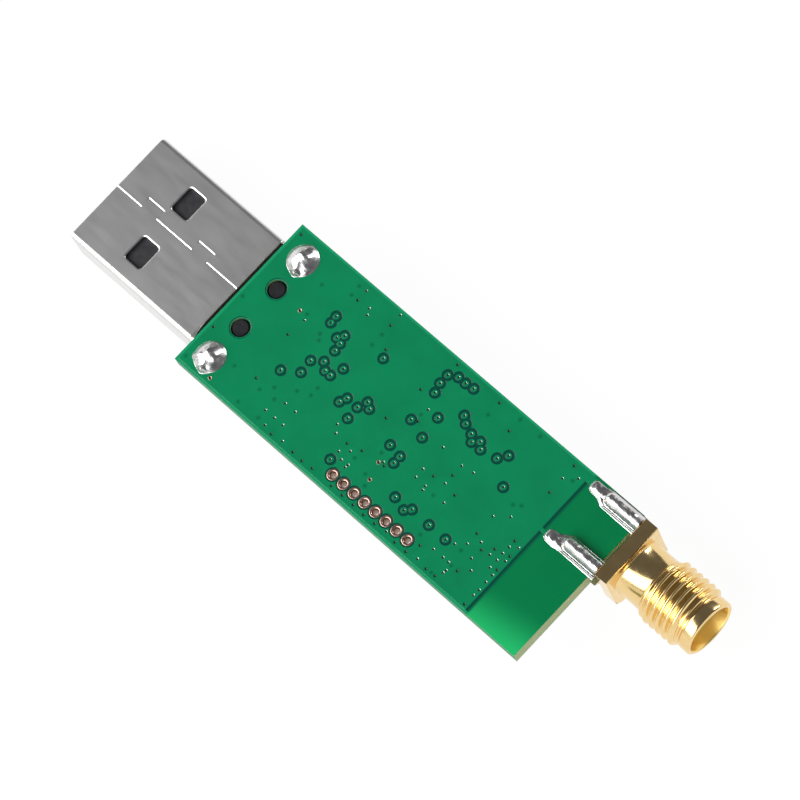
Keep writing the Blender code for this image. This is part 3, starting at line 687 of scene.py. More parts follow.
def copper_share(x, y, boxes, cleared, holes, soft=0.1):
    """1 where the mask lies on copper and 0 where it lies on bare laminate."""
    pour = np.full(len(x), 1e9)
    for centre, size in boxes:
        pour = np.minimum(pour, box_distance(x, y, centre, size))
    share = 1.0 - smooth_step(-0.03, 0.06, pour)
    pads = np.zeros(len(x))
    for centre in cleared:
        away = np.hypot(x - centre[0], y - centre[1])
        share = np.minimum(share, smooth_step(CLEARANCE_RADIUS - soft, CLEARANCE_RADIUS, away))
        pads = np.maximum(pads, 1.0 - smooth_step(PAD_RADIUS, PAD_RADIUS + soft, away))
    for centre in holes:
        away = np.hypot(x - centre[0], y - centre[1])
        share = np.minimum(share, smooth_step(HOLE_CLEARANCE - soft, HOLE_CLEARANCE, away))
    return np.maximum(share, pads)


def via_dips(x, y, vias, radius, depth):
    """Depth of the dimples that the mask leaves over vias."""
    dip = np.zeros(len(x))
    for centre in vias:
        away = np.hypot(x - centre[0], y - centre[1])
        near = away < radius
        dip[near] = np.maximum(dip[near], depth * (1.0 - (away[near] / radius) ** 2) ** 2)
    return dip


def via_folds(vias, radii, steps):
    return [(circle(centre, radius, steps), True) for centre in vias for radius in radii]


def add_board():
    outline = [
        (0.0, -HALF_WIDTH), (BOARD_LENGTH, -HALF_WIDTH),
        (BOARD_LENGTH, HALF_WIDTH), (0.0, HALF_WIDTH),
    ]
    openings = [circle(p, PEG_HOLE_RADIUS, 40) for p in PEG_PLACES]
    openings += [circle(p, HOLE_PAD_RADIUS - 0.04, 28) for p in HOLE_ROW]
    core = sheet_mesh(
        "board_core",
        [outline] + [circle(p, PEG_HOLE_RADIUS, 40) for p in PEG_PLACES]
        + [circle(p, HOLE_RADIUS + 0.03, 28) for p in HOLE_ROW],
        [],
        lambda u, v: np.full(len(u), -MASK + 0.01),
        lambda u, v: np.full(len(u), UNDERSIDE + MASK - 0.01),
    )
    add_piece(
        "board_core", core, ["laminate"], ["circuit_board"], smooth=None
    )

    boxes = pour_boxes(True)
    rings = (
        0.05, 0.09, 0.13, 0.15, PAD_RADIUS - 0.02, PAD_RADIUS, PAD_RADIUS + 0.03, PAD_RADIUS + 0.06,
        PAD_RADIUS + 0.1, CLEARANCE_RADIUS - 0.1, CLEARANCE_RADIUS - 0.06, CLEARANCE_RADIUS - 0.03,
        CLEARANCE_RADIUS, CLEARANCE_RADIUS + 0.02,
    )
    folds = via_folds(CLEARED_VIAS, rings, 24)
    hole_rings = (
        HOLE_CLEARANCE - 0.1, HOLE_CLEARANCE - 0.05, HOLE_CLEARANCE - 0.03, HOLE_CLEARANCE,
        HOLE_CLEARANCE + 0.02,
    )
    folds += via_folds(HOLE_ROW, hole_rings, 28)
    small = OPEN_VIAS + FILLED_VIAS + RINGED_VIAS
    folds += via_folds(small, (0.05, 0.09, 0.12, 0.15, 0.18, 0.24), 10)
    folds += via_folds(FAINT_VIAS, (0.08, 0.16, 0.26, 0.3), 10)
    folds += via_folds(PEG_PLACES, (PEG_LIT_RIM - 0.02, PEG_LIT_RIM, PEG_RING - 0.04, PEG_RING), 40)
    for across in (HALF_WIDTH - POUR_RIM - 0.05, HALF_WIDTH - POUR_RIM + 0.05):
        for side in (-across, across):
            folds.append(([(0.0, side), (BOARD_LENGTH, side)], False))
    for along in (POUR_END + 0.2, POUR_END + 0.5):
        folds.append(([(along, -HALF_WIDTH), (along, HALF_WIDTH)], False))
    for centre, (length, width) in boxes:
        for grow in (-0.03, 0.015, 0.06):
            size = (length + 2 * grow, width + 2 * grow)
            folds.append((rounded_rectangle(centre, size, 0.05, 2), True))

    def height(u, v):
        share = copper_share(u, v, boxes, CLEARED_VIAS, HOLE_ROW)
        dips = via_dips(u, v, OPEN_VIAS + RINGED_VIAS, 0.13, 0.05)
        dips = np.maximum(dips, via_dips(u, v, CLEARED_VIAS, 0.13, 0.045))
        dips = np.maximum(dips, via_dips(u, v, FILLED_VIAS, 0.15, 0.035))
        dips = np.maximum(dips, via_dips(u, v, FAINT_VIAS, 0.16, 0.006))
        for place in PEG_PLACES:
            away = np.hypot(u - place[0], v - place[1])
            dips = np.maximum(dips, 0.03 * (1.0 - smooth_step(PEG_HOLE_RADIUS, PEG_RING, away)))
        return -STEP * (1.0 - share) - np.minimum(dips, MASK - 0.005 - STEP * (1.0 - share))

    def look(u, v):
        bare = 1.0 - copper_share(u, v, boxes, CLEARED_VIAS, HOLE_ROW, 0.03)
        # Between the pour's end and the field the dark bare colour stays: bare laminate, and
        # painted shadow of the pour's step.
        field = smooth_step(POUR_END + 0.2, POUR_END + 0.5, u)
        from_edge = np.minimum(HALF_WIDTH - np.abs(v), u)
        rim = (1.0 - smooth_step(POUR_RIM - 0.05, POUR_RIM + 0.05, from_edge)) * (1.0 - field)
        # painted shadow in the via mouths
        mouth = 1.8 * via_dips(u, v, OPEN_VIAS + RINGED_VIAS, 0.19, 1.0)
        mouth = np.maximum(mouth, 1.3 * via_dips(u, v, FILLED_VIAS + CLEARED_VIAS, 0.18, 1.0))
        mouth = np.maximum(mouth, 0.45 * via_dips(u, v, FAINT_VIAS + OPEN_VIAS, 0.3, 1.0))
        for place in PEG_PLACES:
            away = np.hypot(u - place[0], v - place[1])
            bare = np.maximum(bare, 1.0 - smooth_step(PEG_RING - 0.04, PEG_RING, away))
            # painted light: a light ring that stands for the peg hole's lit wall
            rim = np.maximum(rim, 1.0 - smooth_step(PEG_LIT_RIM - 0.02, PEG_LIT_RIM, away))
        return bare * (1.0 - np.maximum(field, rim)), bare * field, np.minimum(mouth, 1.0), rim

    mask = sheet_mesh(
        "mask_solder_side", [outline] + openings, folds, height,
        lambda u, v: np.full(len(u), -MASK), look=look,
    )
    add_piece("mask_solder_side", mask, ["mask"], smooth=None)


add_board()


def add_plated_holes():
    """Rings of bare copper through the board, rounded into barrels painted darker inside: painted
    shade.
    """
    low = UNDERSIDE
    profile = [
        (-MASK, HOLE_PAD_RADIUS - 0.01), (-0.012, HOLE_PAD_RADIUS - 0.01),
        (0.0, HOLE_PAD_RADIUS - 0.04), (0.0, HOLE_RADIUS + 0.1), (-0.02, HOLE_RADIUS + 0.04),
        (-0.07, HOLE_RADIUS + 0.005), (-0.16, HOLE_RADIUS - 0.01), (-0.5, HOLE_RADIUS - 0.03),
        (low + 0.5, HOLE_RADIUS - 0.03), (low + 0.16, HOLE_RADIUS - 0.01),
        (low + 0.07, HOLE_RADIUS + 0.005), (low + 0.02, HOLE_RADIUS + 0.04),
        (low, HOLE_RADIUS + 0.1), (low, HOLE_PAD_RADIUS - 0.04),
        (low + 0.012, HOLE_PAD_RADIUS - 0.01), (low + MASK, HOLE_PAD_RADIUS - 0.01),
        (low + MASK, HOLE_RADIUS + 0.035), (-MASK, HOLE_RADIUS + 0.035),
    ]
    for number, (x, y) in enumerate(HOLE_ROW, 1):
        ring = turned_mesh(
            "plated_hole", profile, 28, lambda a, p, q, x=x, y=y: np.stack([x + p, y + q, a], 1)
        )
        slots = [0] * len(ring.polygons)
        slots[5 * 28 : 9 * 28] = [1] * (4 * 28)
        ring.polygons.foreach_set("material_index", slots)
        add_piece(
            f"plated_hole_{number}", ring, ["copper", "barrel_copper_shaded"],
            smooth=50.0,
        )


add_plated_holes()


def upright_at(x, y):
    """Places a turned piece on the solder side, with its axis upright."""

    def place(along, first, second):
        return np.stack([x + first, y + second, along], 1)

    return place


def add_via_metal():
    """Small metal cups where vias come up through the mask, and bare rings round four of them."""
    cup = [
        (-0.058, 0.125), (-0.008, 0.125), (-0.002, 0.12), (-0.016, 0.09), (-0.038, 0.06),
        (-0.058, 0.05),
    ]
    ring = [(-0.056, 0.2), (0.002, 0.2), (0.009, 0.18), (0.006, 0.13), (-0.03, 0.1), (-0.056, 0.1)]
    for name, profile, places, metal in (
        ("via_cups", cup, CLEARED_VIAS + FILLED_VIAS, "via_tin"),
        ("via_rings", ring, RINGED_VIAS, "copper"),
    ):
        shape = bmesh.new()
        for x, y in places:
            one = turned_mesh(name, profile, 12, upright_at(x, y))
            shape.from_mesh(one)
            bpy.data.meshes.remove(one)
        add_piece(name, mesh_of(name, shape), [metal], smooth=70.0)


add_via_metal()


# Component side

TRACES = {  # centre line, then width
    "supply": ([(4.6, 3.65), (6.2, 3.65), (7.2, 2.6), (7.2, 0.9), (8.4, -0.9), (8.6, -3.0)], 0.6),
    "supply_out": ([(11.3, -3.0), (12.2, -2.0), (12.9, -1.0), (15.0, -1.0), (16.9, -1.9)], 0.4),
    "data_minus": ([(4.9, 1.15), (6.0, 1.15), (8.6, 1.9), (12.0, 1.9), (16.8, 1.97)], 0.25),
    "data_plus": (
        [(4.9, -0.85), (6.0, -0.85), (6.6, 0.6), (8.8, 1.5), (12.3, 1.5), (16.8, 0.7)], 0.25
    ),
    "bead": ([(6.3, -2.3), (5.6, -2.9), (4.9, -3.35)], 0.5),
    "left_button": ([(16.0, -5.0), (18.6, -5.0), (21.0, -3.4), (22.8, -2.6)], 0.2),
    "right_button": ([(15.3, 5.2), (18.0, 5.2), (20.4, 4.9), (21.6, 2.6), (22.8, 1.5)], 0.2),
    "left_lamp": ([(9.0, -6.6), (19.5, -7.0), (22.2, -5.2)], 0.2),
    "right_lamp": ([(9.0, 6.0), (10.6, 6.1)], 0.2),
    "debug_1": ([(20.9, 3.24), (22.2, 1.8), (22.8, 1.0)], 0.2),
    "debug_2": ([(20.9, 1.97), (21.8, 1.2), (22.8, 0.5)], 0.2),
    "debug_3": ([(20.9, 0.7), (22.0, 0.3), (22.8, 0.0)], 0.2),
    "debug_4": ([(20.9, -0.57), (22.0, -0.55), (22.8, -0.5)], 0.2),
    "debug_5": ([(20.9, -1.84), (22.0, -1.4), (22.8, -1.0)], 0.2),
    "hole_1": ([(17.9, -6.55), (21.4, -4.4), (22.8, -1.5)], 0.2),
    "hole_2": ([(20.44, -6.55), (22.6, -4.4), (23.8, -3.6)], 0.2),
    "hole_3": ([(22.98, -6.55), (24.6, -5.0), (24.6, -3.6)], 0.2),
    "hole_4": ([(25.52, -6.55), (25.5, -3.6)], 0.2),
    "crystal_in": ([(28.4, -2.0), (29.0, -2.9), (29.7, -3.9)], 0.2),
    "crystal_out": ([(28.4, -1.5), (30.4, -2.6), (31.9, -3.9)], 0.2),
    "balun_in": ([(28.4, 0.6), (29.6, 1.2), (30.9, 1.3)], 0.25),
    "balun_in_2": ([(28.4, 1.1), (29.6, 2.6), (30.9, 3.1)], 0.25),
    "antenna_1": ([(31.8, 3.1), (33.1, 3.2)], 0.3),
    "antenna_2": ([(34.1, 3.2), (34.6, 4.6), (34.4, 5.1)], 0.3),
    "antenna_3": ([(34.1, 3.2), (36.0, 4.6), (38.4, 4.6)], 0.6),
}


def segment_distance(x, y, start, end):
    along = np.array(end) - np.array(start)
    share = ((x - start[0]) * along[0] + (y - start[1]) * along[1]) / max(along @ along, 1e-9)
    share = np.clip(share, 0.0, 1.0)
    return np.hypot(x - start[0] - share * along[0], y - start[1] - share * along[1])


def line_folds(path, offsets):
    """Lines on both sides of a path, which keep its slopes sharp."""
    folds = []
    for (x0, y0), (x1, y1) in zip(path, path[1:]):
        length = math.hypot(x1 - x0, y1 - y0)
        side = ((y0 - y1) / length, (x1 - x0) / length)
        for offset in offsets:
            for sign in (-1, 1):
                shift = (side[0] * offset * sign, side[1] * offset * sign)
                beside = [(x0 + shift[0], y0 + shift[1]), (x1 + shift[0], y1 + shift[1])]
                folds.append((beside, False))
    return folds


def flip(points):
    """Points of the board as its component side shows them, from below."""
    return [(x, -y) for x, y in points]


def add_component_mask():
    """The component side's mask: traces stand up from a pour that keeps clear of them."""
    place = below_board((0.0, 0.0))
    outline = flip([
        (0.0, HALF_WIDTH), (BOARD_LENGTH, HALF_WIDTH),
        (BOARD_LENGTH, -HALF_WIDTH), (0.0, -HALF_WIDTH),
    ])
    openings = [circle((x, -y), PEG_HOLE_RADIUS, 40) for x, y in PEG_PLACES]
    openings += [circle((x, -y), HOLE_PAD_RADIUS - 0.04, 28) for x, y in HOLE_ROW]
    folds = []
    for path, width in TRACES.values():
        offsets = (width / 2, width / 2 + 0.05, width / 2 + 0.2, width / 2 + 0.25)
        folds += line_folds(flip(path), offsets)
    vias = flip(CLEARED_VIAS + OPEN_VIAS + FILLED_VIAS + FAINT_VIAS + RINGED_VIAS)
    folds += via_folds(vias, (0.06, 0.12, 0.16), 10)
    boxes = [((x, -y), size) for (x, y), size in pour_boxes(False)]

    def height(u, v):
        gap = np.full(len(u), 1e9)
        metal = np.full(len(u), 1e9)
        for path, width in TRACES.values():
            for start, end in zip(flip(path), flip(path)[1:]):
                away = segment_distance(u, v, start, end)
                metal = np.minimum(metal, away - width / 2)
                gap = np.minimum(gap, away - width / 2 - 0.2)
        poured = copper_share(u, v, boxes, [], flip(HOLE_ROW))
        share = np.minimum(poured, smooth_step(0.0, 0.05, gap))
        share = np.maximum(share, 1.0 - smooth_step(0.0, 0.05, metal))
        dips = via_dips(u, v, vias, 0.15, 0.03)
        return -STEP * (1.0 - share) - np.minimum(dips, MASK - 0.005 - STEP * (1.0 - share))

    def look(u, v):
        bare = -height(u, v) / STEP
        # As on the solder side, the strip before the field keeps the dark bare colour, partly
        # painted shadow of the pour's step.
        field = smooth_step(POUR_END + 0.2, POUR_END + 0.5, u)
        # painted shadow in the via mouths
        mouth = via_dips(u, v, vias, 0.13, 1.0)
        bare = np.clip(bare, 0.0, 1.0)
        return bare * (1.0 - field), bare * field, mouth, np.zeros(len(u))

    mask = sheet_mesh(
        "mask_component_side", [outline] + openings, folds, height,
        lambda u, v: np.full(len(u), -MASK), place, look,
    )
    add_piece("mask_component_side", mask, ["mask"], smooth=None)


add_component_mask()


# USB plug

HALF_FLAT = PLUG_WIDTH / 2 - SHELL_CORNER
SIDE_FLAT = PLUG_HEIGHT - 2 * SHELL_CORNER
ARC = SHELL_CORNER * math.pi / 2
ROUND = 4 * (HALF_FLAT + ARC) + 2 * SIDE_FLAT  # length round the section
SEAM_GAP = 0.012
FRONT_SETBACK = 0.28  # of the front edge on the two narrow sides
WINDOW_ROLL = 0.14
ROLL = 0.19  # width of the rounded edges that the cutting tool left
SECTION = [  # length, and whether it bends
    (HALF_FLAT, False), (ARC, True), (SIDE_FLAT, False), (ARC, True), (2 * HALF_FLAT, False),
    (ARC, True), (SIDE_FLAT, False), (ARC, True), (HALF_FLAT + 4.0, False),
]


def fold_shell(u, v, w):
    """Wraps the flat sheet round the plug, from the seam towards +Y and back to the seam."""
    centre = np.array([PLUG_Y, UNDERSIDE])
    ahead, out = np.array([1.0, 0.0]), np.array([0.0, 1.0])
    placed = centre + np.outer(v, ahead) + np.outer(w, out)
    start = 0.0
    at = centre
    for length, bends in SECTION:
        here = v > start
        along = v[here] - start
        if bends:
            pivot = at - out * SHELL_CORNER
            angle = along / SHELL_CORNER
            normal = np.outer(np.cos(angle), out) + np.outer(np.sin(angle), ahead)
            placed[here] = pivot + normal * (SHELL_CORNER + w[here, None])
            at = pivot + ahead * SHELL_CORNER
            ahead, out = -out, ahead
        else:
            placed[here] = at + np.outer(along, ahead) + np.outer(w[here], out)
            at = at + ahead * length
        start += length
    return np.column_stack([u, placed])


def shell_outline():
    """The flat sheet before it is folded: its two seam edges interlock by dovetails."""
    near = [(PLUG_FRONT, SEAM_GAP)]
    far = [(PLUG_FRONT, ROUND - SEAM_GAP)]
    front = []
    for low in (HALF_FLAT, 3 * HALF_FLAT + 2 * ARC + SIDE_FLAT):
        high = low + 2 * ARC + SIDE_FLAT
        for share in range(9):
            back = FRONT_SETBACK * (share / 8) ** 2
            front.append((PLUG_FRONT + back, low - 0.35 + (ARC + 0.35) * share / 8))
        for share in range(9):
            back = FRONT_SETBACK * (1 - share / 8) ** 2
            front.append((PLUG_FRONT + back, high - ARC + (ARC + 0.35) * share / 8))
    for start, end in SEAM_TABS:
        near += [
            (start + SEAM_SLANT - SEAM_GAP, SEAM_GAP),
            (start - SEAM_SLANT - SEAM_GAP, SEAM_STEP + SEAM_GAP),
            (end + SEAM_SLANT + SEAM_GAP, SEAM_STEP + SEAM_GAP),
            (end - SEAM_SLANT + SEAM_GAP, SEAM_GAP),
        ]
        far += [
            (start + SEAM_SLANT, ROUND - SEAM_GAP),
            (start - SEAM_SLANT, ROUND + SEAM_STEP - SEAM_GAP),
            (end + SEAM_SLANT, ROUND + SEAM_STEP - SEAM_GAP),
            (end - SEAM_SLANT, ROUND - SEAM_GAP),
        ]
    side = HALF_FLAT + ARC * 0.8
    rear = [(SHELL_LIP, SEAM_GAP), (SHELL_LIP, side), (PLUG_REAR, side), (PLUG_REAR, ROUND - side)]
    curve = []
    for step in range(9):
        share = step / 8
        across = 3.2 + 3.2 * share
        curve.append((SHELL_LIP + 0.55 * share**2, ROUND - across))
    rear += [(curve[-1][0], ROUND - side)] + curve[:-1][::-1] + [(SHELL_LIP, ROUND - SEAM_GAP)]
    return near + rear + far[::-1] + front[::-1]


def seam_runs():
    """The straight runs of the seam's edge that face -Y."""
    runs = []
    start_of_run = PLUG_FRONT
    for start, end in SEAM_TABS:
        runs.append(((start_of_run, SEAM_GAP), (start + SEAM_SLANT - SEAM_GAP, SEAM_GAP)))
        high = SEAM_STEP + SEAM_GAP
        runs.append(((start - SEAM_SLANT, high), (end + SEAM_SLANT, high)))
        start_of_run = end - SEAM_SLANT + SEAM_GAP
    runs.append(((start_of_run, SEAM_GAP), (SHELL_LIP, SEAM_GAP)))
    return runs


def add_usb_shell():
    windows = []
    for middle in (WINDOW_SPREAD, ROUND - WINDOW_SPREAD, ROUND / 2 - WINDOW_SPREAD,
                   ROUND / 2 + WINDOW_SPREAD):
        windows.append((WINDOW_X, middle))
    holes = [rounded_rectangle(at, WINDOW_SIZE, WINDOW_CORNER, 5) for at in windows]
    folds = []
    start = 0.0
    for length, bends in SECTION:
        steps = 6 if bends else 1
        for step in range(steps):
            at = start + length * step / steps
            folds.append(([(PLUG_FRONT, at), (PLUG_REAR, at)], False))
        start += length
    folds = folds[1:]
    for inside in (0.03, 0.08, 0.1):
        for end in (PLUG_FRONT + inside, SHELL_LIP - inside):
            folds.append(([(end, 0.0), (end, ROUND)], False))
    offsets = (0.03, 0.06, 0.09, 0.12, WINDOW_ROLL, 0.17, ROLL, ROLL + 0.03)
    for (u0, v0), (u1, _) in seam_runs():
        for offset in offsets:
            folds.append(([(u0 + 0.02, v0 + offset), (u1 - 0.02, v0 + offset)], False))
        for end in (u0, u1):
            folds += hatch((end - 0.3, v0), (end + 0.3, v0 + ROLL + 0.02), 0.06)
    for at in windows:
        for offset in offsets:
            size = (WINDOW_SIZE[0] + 2 * offset, WINDOW_SIZE[1] + 2 * offset)
            folds.append((rounded_rectangle(at, size, WINDOW_CORNER + offset, 5), True))

    def rolled(inside, width=ROLL):
        """How far a rounded edge lies below the face."""
        share = np.clip(1.0 - inside / width, 0.0, 1.0)
        return width * 0.46 * share**2

    def height(u, v):
        drop = np.zeros(len(u))
        for (u0, v0), (u1, _) in seam_runs():
            ends = ((u0 + 0.1, v0), (u1 - 0.1, v0))
            if u0 == PLUG_FRONT:
                ends = ((u0 - 1.0, v0), ends[1])
            if u1 == SHELL_LIP:
                ends = (ends[0], (u1 + 1.0, v0))
            drop = np.maximum(drop, rolled(segment_distance(u, v, *ends)))
        for at in windows:
            outside = np.maximum(box_distance(u, v, at, WINDOW_SIZE, WINDOW_CORNER), 0.0)
            drop = np.maximum(drop, rolled(outside, WINDOW_ROLL))
        ends = np.minimum(u - PLUG_FRONT, np.abs(SHELL_LIP - u))
        drop = np.maximum(drop, 0.04 * np.clip(1.0 - ends / 0.08, 0.0, 1.0) ** 2)
        return -drop

    shell = sheet_mesh(
        "usb_shell_sheet", [shell_outline()] + holes, folds, height,
        lambda u, v: np.full(len(u), -SHEET), fold_shell,
    )
    add_piece("usb_shell_sheet", shell, ["steel"], ["usb_shell"], smooth=None)
    for side, (x, y) in BLOB_PLACES.items():
        tab = bmesh.new()
        across = PLUG_Y + (5.85 if y > 0 else -5.85)
        block(tab, (1.0, 0.26, 2.4), (2.45, across, UNDERSIDE + 0.3), 0.04)
        add_piece(f"shell_tab_{side}", mesh_of("shell_tab", tab), ["steel"])


add_usb_shell()


# Solder


def blob_outline(centre, radii, lobes, steps=64):
    """A soft oval, drawn out where the solder ran: each lobe has an angle, a width and a reach."""
    points = []
    for i in range(steps):
        turn = 2 * math.pi * i / steps
        reach = 1.0
        for angle, width, out in lobes:
            off = (turn - math.radians(angle) + math.pi) % (2 * math.pi) - math.pi
            reach += out * math.exp(-((off / math.radians(width)) ** 2))
        points.append((
            centre[0] + radii[0] * reach * math.cos(turn),
            centre[1] + radii[1] * reach * math.sin(turn),
        ))
    return points


def edge_distance(loop, x, y):
    """How far points lie inside a closed loop's edge."""
    away = np.full(len(x), 1e9)
    for start, end in zip(loop, loop[1:] + loop[:1]):
        away = np.minimum(away, segment_distance(x, y, start, end))
    return np.where(inside_loop(loop, x, y), away, 0.0)


def add_solder(name, outline, step, height, place=flat_place, replaces=(), sunk=0.04):
    xs, ys = zip(*outline)
    folds = hatch((min(xs), min(ys)), (max(xs), max(ys)), step)
    drop = sheet_mesh(name, [outline], folds, height, lambda u, v: np.full(len(u), -sunk), place)
    add_piece(name, drop, ["solder"], replaces, smooth=None)


SHELL_SOLDER_STEP = 0.093  # keeps the hatch clear of the outline's own points


def add_shell_solder():
    shapes = {
        "left": ((2.3, -5.9), (1.42, 1.50), [(285, 15, 0.12), (212, 10, 0.12)], (2.6, -7.25), 11.0),
        "right": ((2.4, 5.62), (1.45, 1.5), [(283, 13, 0.12), (100, 20, 0.05)], (2.72, 4.24), 7.0),
    }
    for side, (centre, radii, lobes, bead, seed) in shapes.items():
        outline = blob_outline(centre, radii, lobes)
        tab_y = PLUG_Y + (5.85 if side == "right" else -5.85)

        def height(u, v, outline=outline, tab_y=tab_y, seed=seed, bead=bead):
            inside = edge_distance(outline, u, v)
            drop = 0.30 * np.exp(-(((u - bead[0]) / 0.34) ** 2 + ((v - bead[1]) / 0.24) ** 2))
            dome = 0.7 * (1.0 - np.clip(1.0 - inside / 1.35, 0.0, 1.0) ** 2)
            over_tab = smooth_step(0.95, 0.45, np.abs(u - 2.45))
            ridge = 0.11 * np.exp(-(((v - tab_y) / 0.34) ** 2)) * over_tab
            ripple = 0.09 * lumps(u, v, 0.8, seed) + 0.04 * lumps(u, v, 2.0, seed + 3.0)
            uneven = (ridge + ripple) * smooth_step(0.0, 0.6, inside)
            return dome + uneven + drop * smooth_step(0.0, 0.2, inside)

        add_solder(
            f"shell_solder_{side}_drop", outline, SHELL_SOLDER_STEP, height,
            replaces=[f"shell_solder_{side}"],
        )


add_shell_solder()


NOSE_SHIFT = {"left": -0.5, "right": 0.0}  # of the solder's nose from its leg, across the board


def leg_hump(u, v, front, half, peak):
    """A round-backed hump that starts with a round nose."""
    ahead = np.clip((front + half - u) / half, 0.0, 1.0)
    away = np.hypot(ahead * half, v) / half
    return peak * np.sqrt(np.clip(1.0 - away**2, 0.0, 1.0))


def add_leg_solder():
    for side, y in LEG_PLACES.items():
        shift = NOSE_SHIFT[side]
        outline = [
            (FLANGE_X - 0.05, -1.05), (FLANGE_X - 0.05, 0.8), (37.3, 0.76),
            (36.8, 0.66 + shift / 3),
            (36.3, 0.58 + shift * 0.8), (35.6, 0.6 + shift), (35.35, 0.4 + shift), (35.3, shift),
            (35.35, -0.4 + shift), (35.7, -0.58 + shift), (36.5, -0.62 + shift), (37.2, -1.0),
        ]
        for level, place in (
            ("top", lambda u, v, w, y=y: np.stack([u, y + v, w], 1)),
            ("bottom", lambda u, v, w, y=y: np.stack([u, y - v, UNDERSIDE - w], 1)),
        ):
            edge = outline if level == "top" else [(u, -v) for u, v in outline[::-1]]

            def height(u, v, y=y, edge=edge, level=level, shift=shift):
                inside = edge_distance(edge, u, v)
                out = v if level == "top" else -v
                film = 0.17 * (1.0 - np.clip(1.0 - inside / 0.3, 0.0, 1.0) ** 2)
                hump = leg_hump(u, out, 36.95, 0.70, 0.94)
                nose = leg_hump(u, (out - shift) * 1.15, 35.5, 0.55, 0.26)
                nose = nose * smooth_step(38.5, 37.5, u)
                skirt = 0.3 * np.exp(-(((out + 0.82) / 0.11) ** 2)) * smooth_step(37.0, 37.6, u)
                top = np.maximum(np.maximum(film, nose), np.maximum(hump, skirt))
                ripple = 0.05 * lumps(u, v, 1.2, y) + 0.03 * lumps(u, v, 2.9, y + 2.0)
                return np.minimum(top + ripple * smooth_step(0.0, 0.35, inside), 0.965)

            add_solder(
                f"leg_fillet_{level}_{side}", edge, 0.08, height, place,
                [f"leg_solder_{level}_{side}"],
            )

    outline = rounded_rectangle((39.4, 0.0), (3.2, 1.5), 0.4, 6)

    def height(u, v):
        inside = edge_distance(outline, u, v)
        film = 0.16 * (1.0 - np.clip(1.0 - inside / 0.35, 0.0, 1.0) ** 2)
        hump = 0.75 * np.clip(1.0 - (v / 0.68) ** 2, 0.0, 1.0) * smooth_step(37.9, 39.1, u)
        return np.maximum(film, hump) + 0.03 * lumps(u, v, 1.4, 3.0) * smooth_step(0.0, 0.3, inside)

    def place(u, v, w):
        return np.stack([u, JACK_Y - v, UNDERSIDE - w], 1)

    add_solder("tail_fillet", outline, 0.09, height, place, ["tail_solder"])


add_leg_solder()


# Coaxial jack


def place_jack(along, across, up):
    return np.stack([FLANGE_X + along, JACK_Y + across, JACK_Z + up], 1)


def add_jack_flange():
    half = FLANGE_SIZE / 2
    cut = half - FLANGE_CHAMFER

    def outline(inset):
        side = half - inset
        low = cut - inset * 0.41
        return [
            (-side, -low), (-low, -side), (low, -side), (side, -low), (side, side), (-side, side)
        ]

    hole = circle((0.0, 0.0), BORE_RADIUS + 0.15, 64)
    bevel = 0.16
    folds = [(outline(inset), True) for inset in (0.03, 0.07, 0.11, bevel)]
    folds.append((circle((0.0, 0.0), NECK_RADIUS + 0.12, 64), True))
    rim = outline(0.0)

    def broken(u, v):
        inside = edge_distance(rim, u, v)
        in_bevel = 1.0 - np.minimum(inside / bevel, 1.0)
        return bevel * (1.0 - np.sqrt(np.clip(1.0 - in_bevel**2, 0.0, 1.0))) * 0.8

    flange = sheet_mesh(
        "jack_flange", [rim, hole], folds,
        lambda u, v: FLANGE_THICKNESS - broken(u, v), lambda u, v: broken(u, v),
        lambda u, v, w: place_jack(w, u, v),
    )
    add_piece("jack_flange", flange, ["gold"], ["jack_body"], smooth=None)


add_jack_flange()


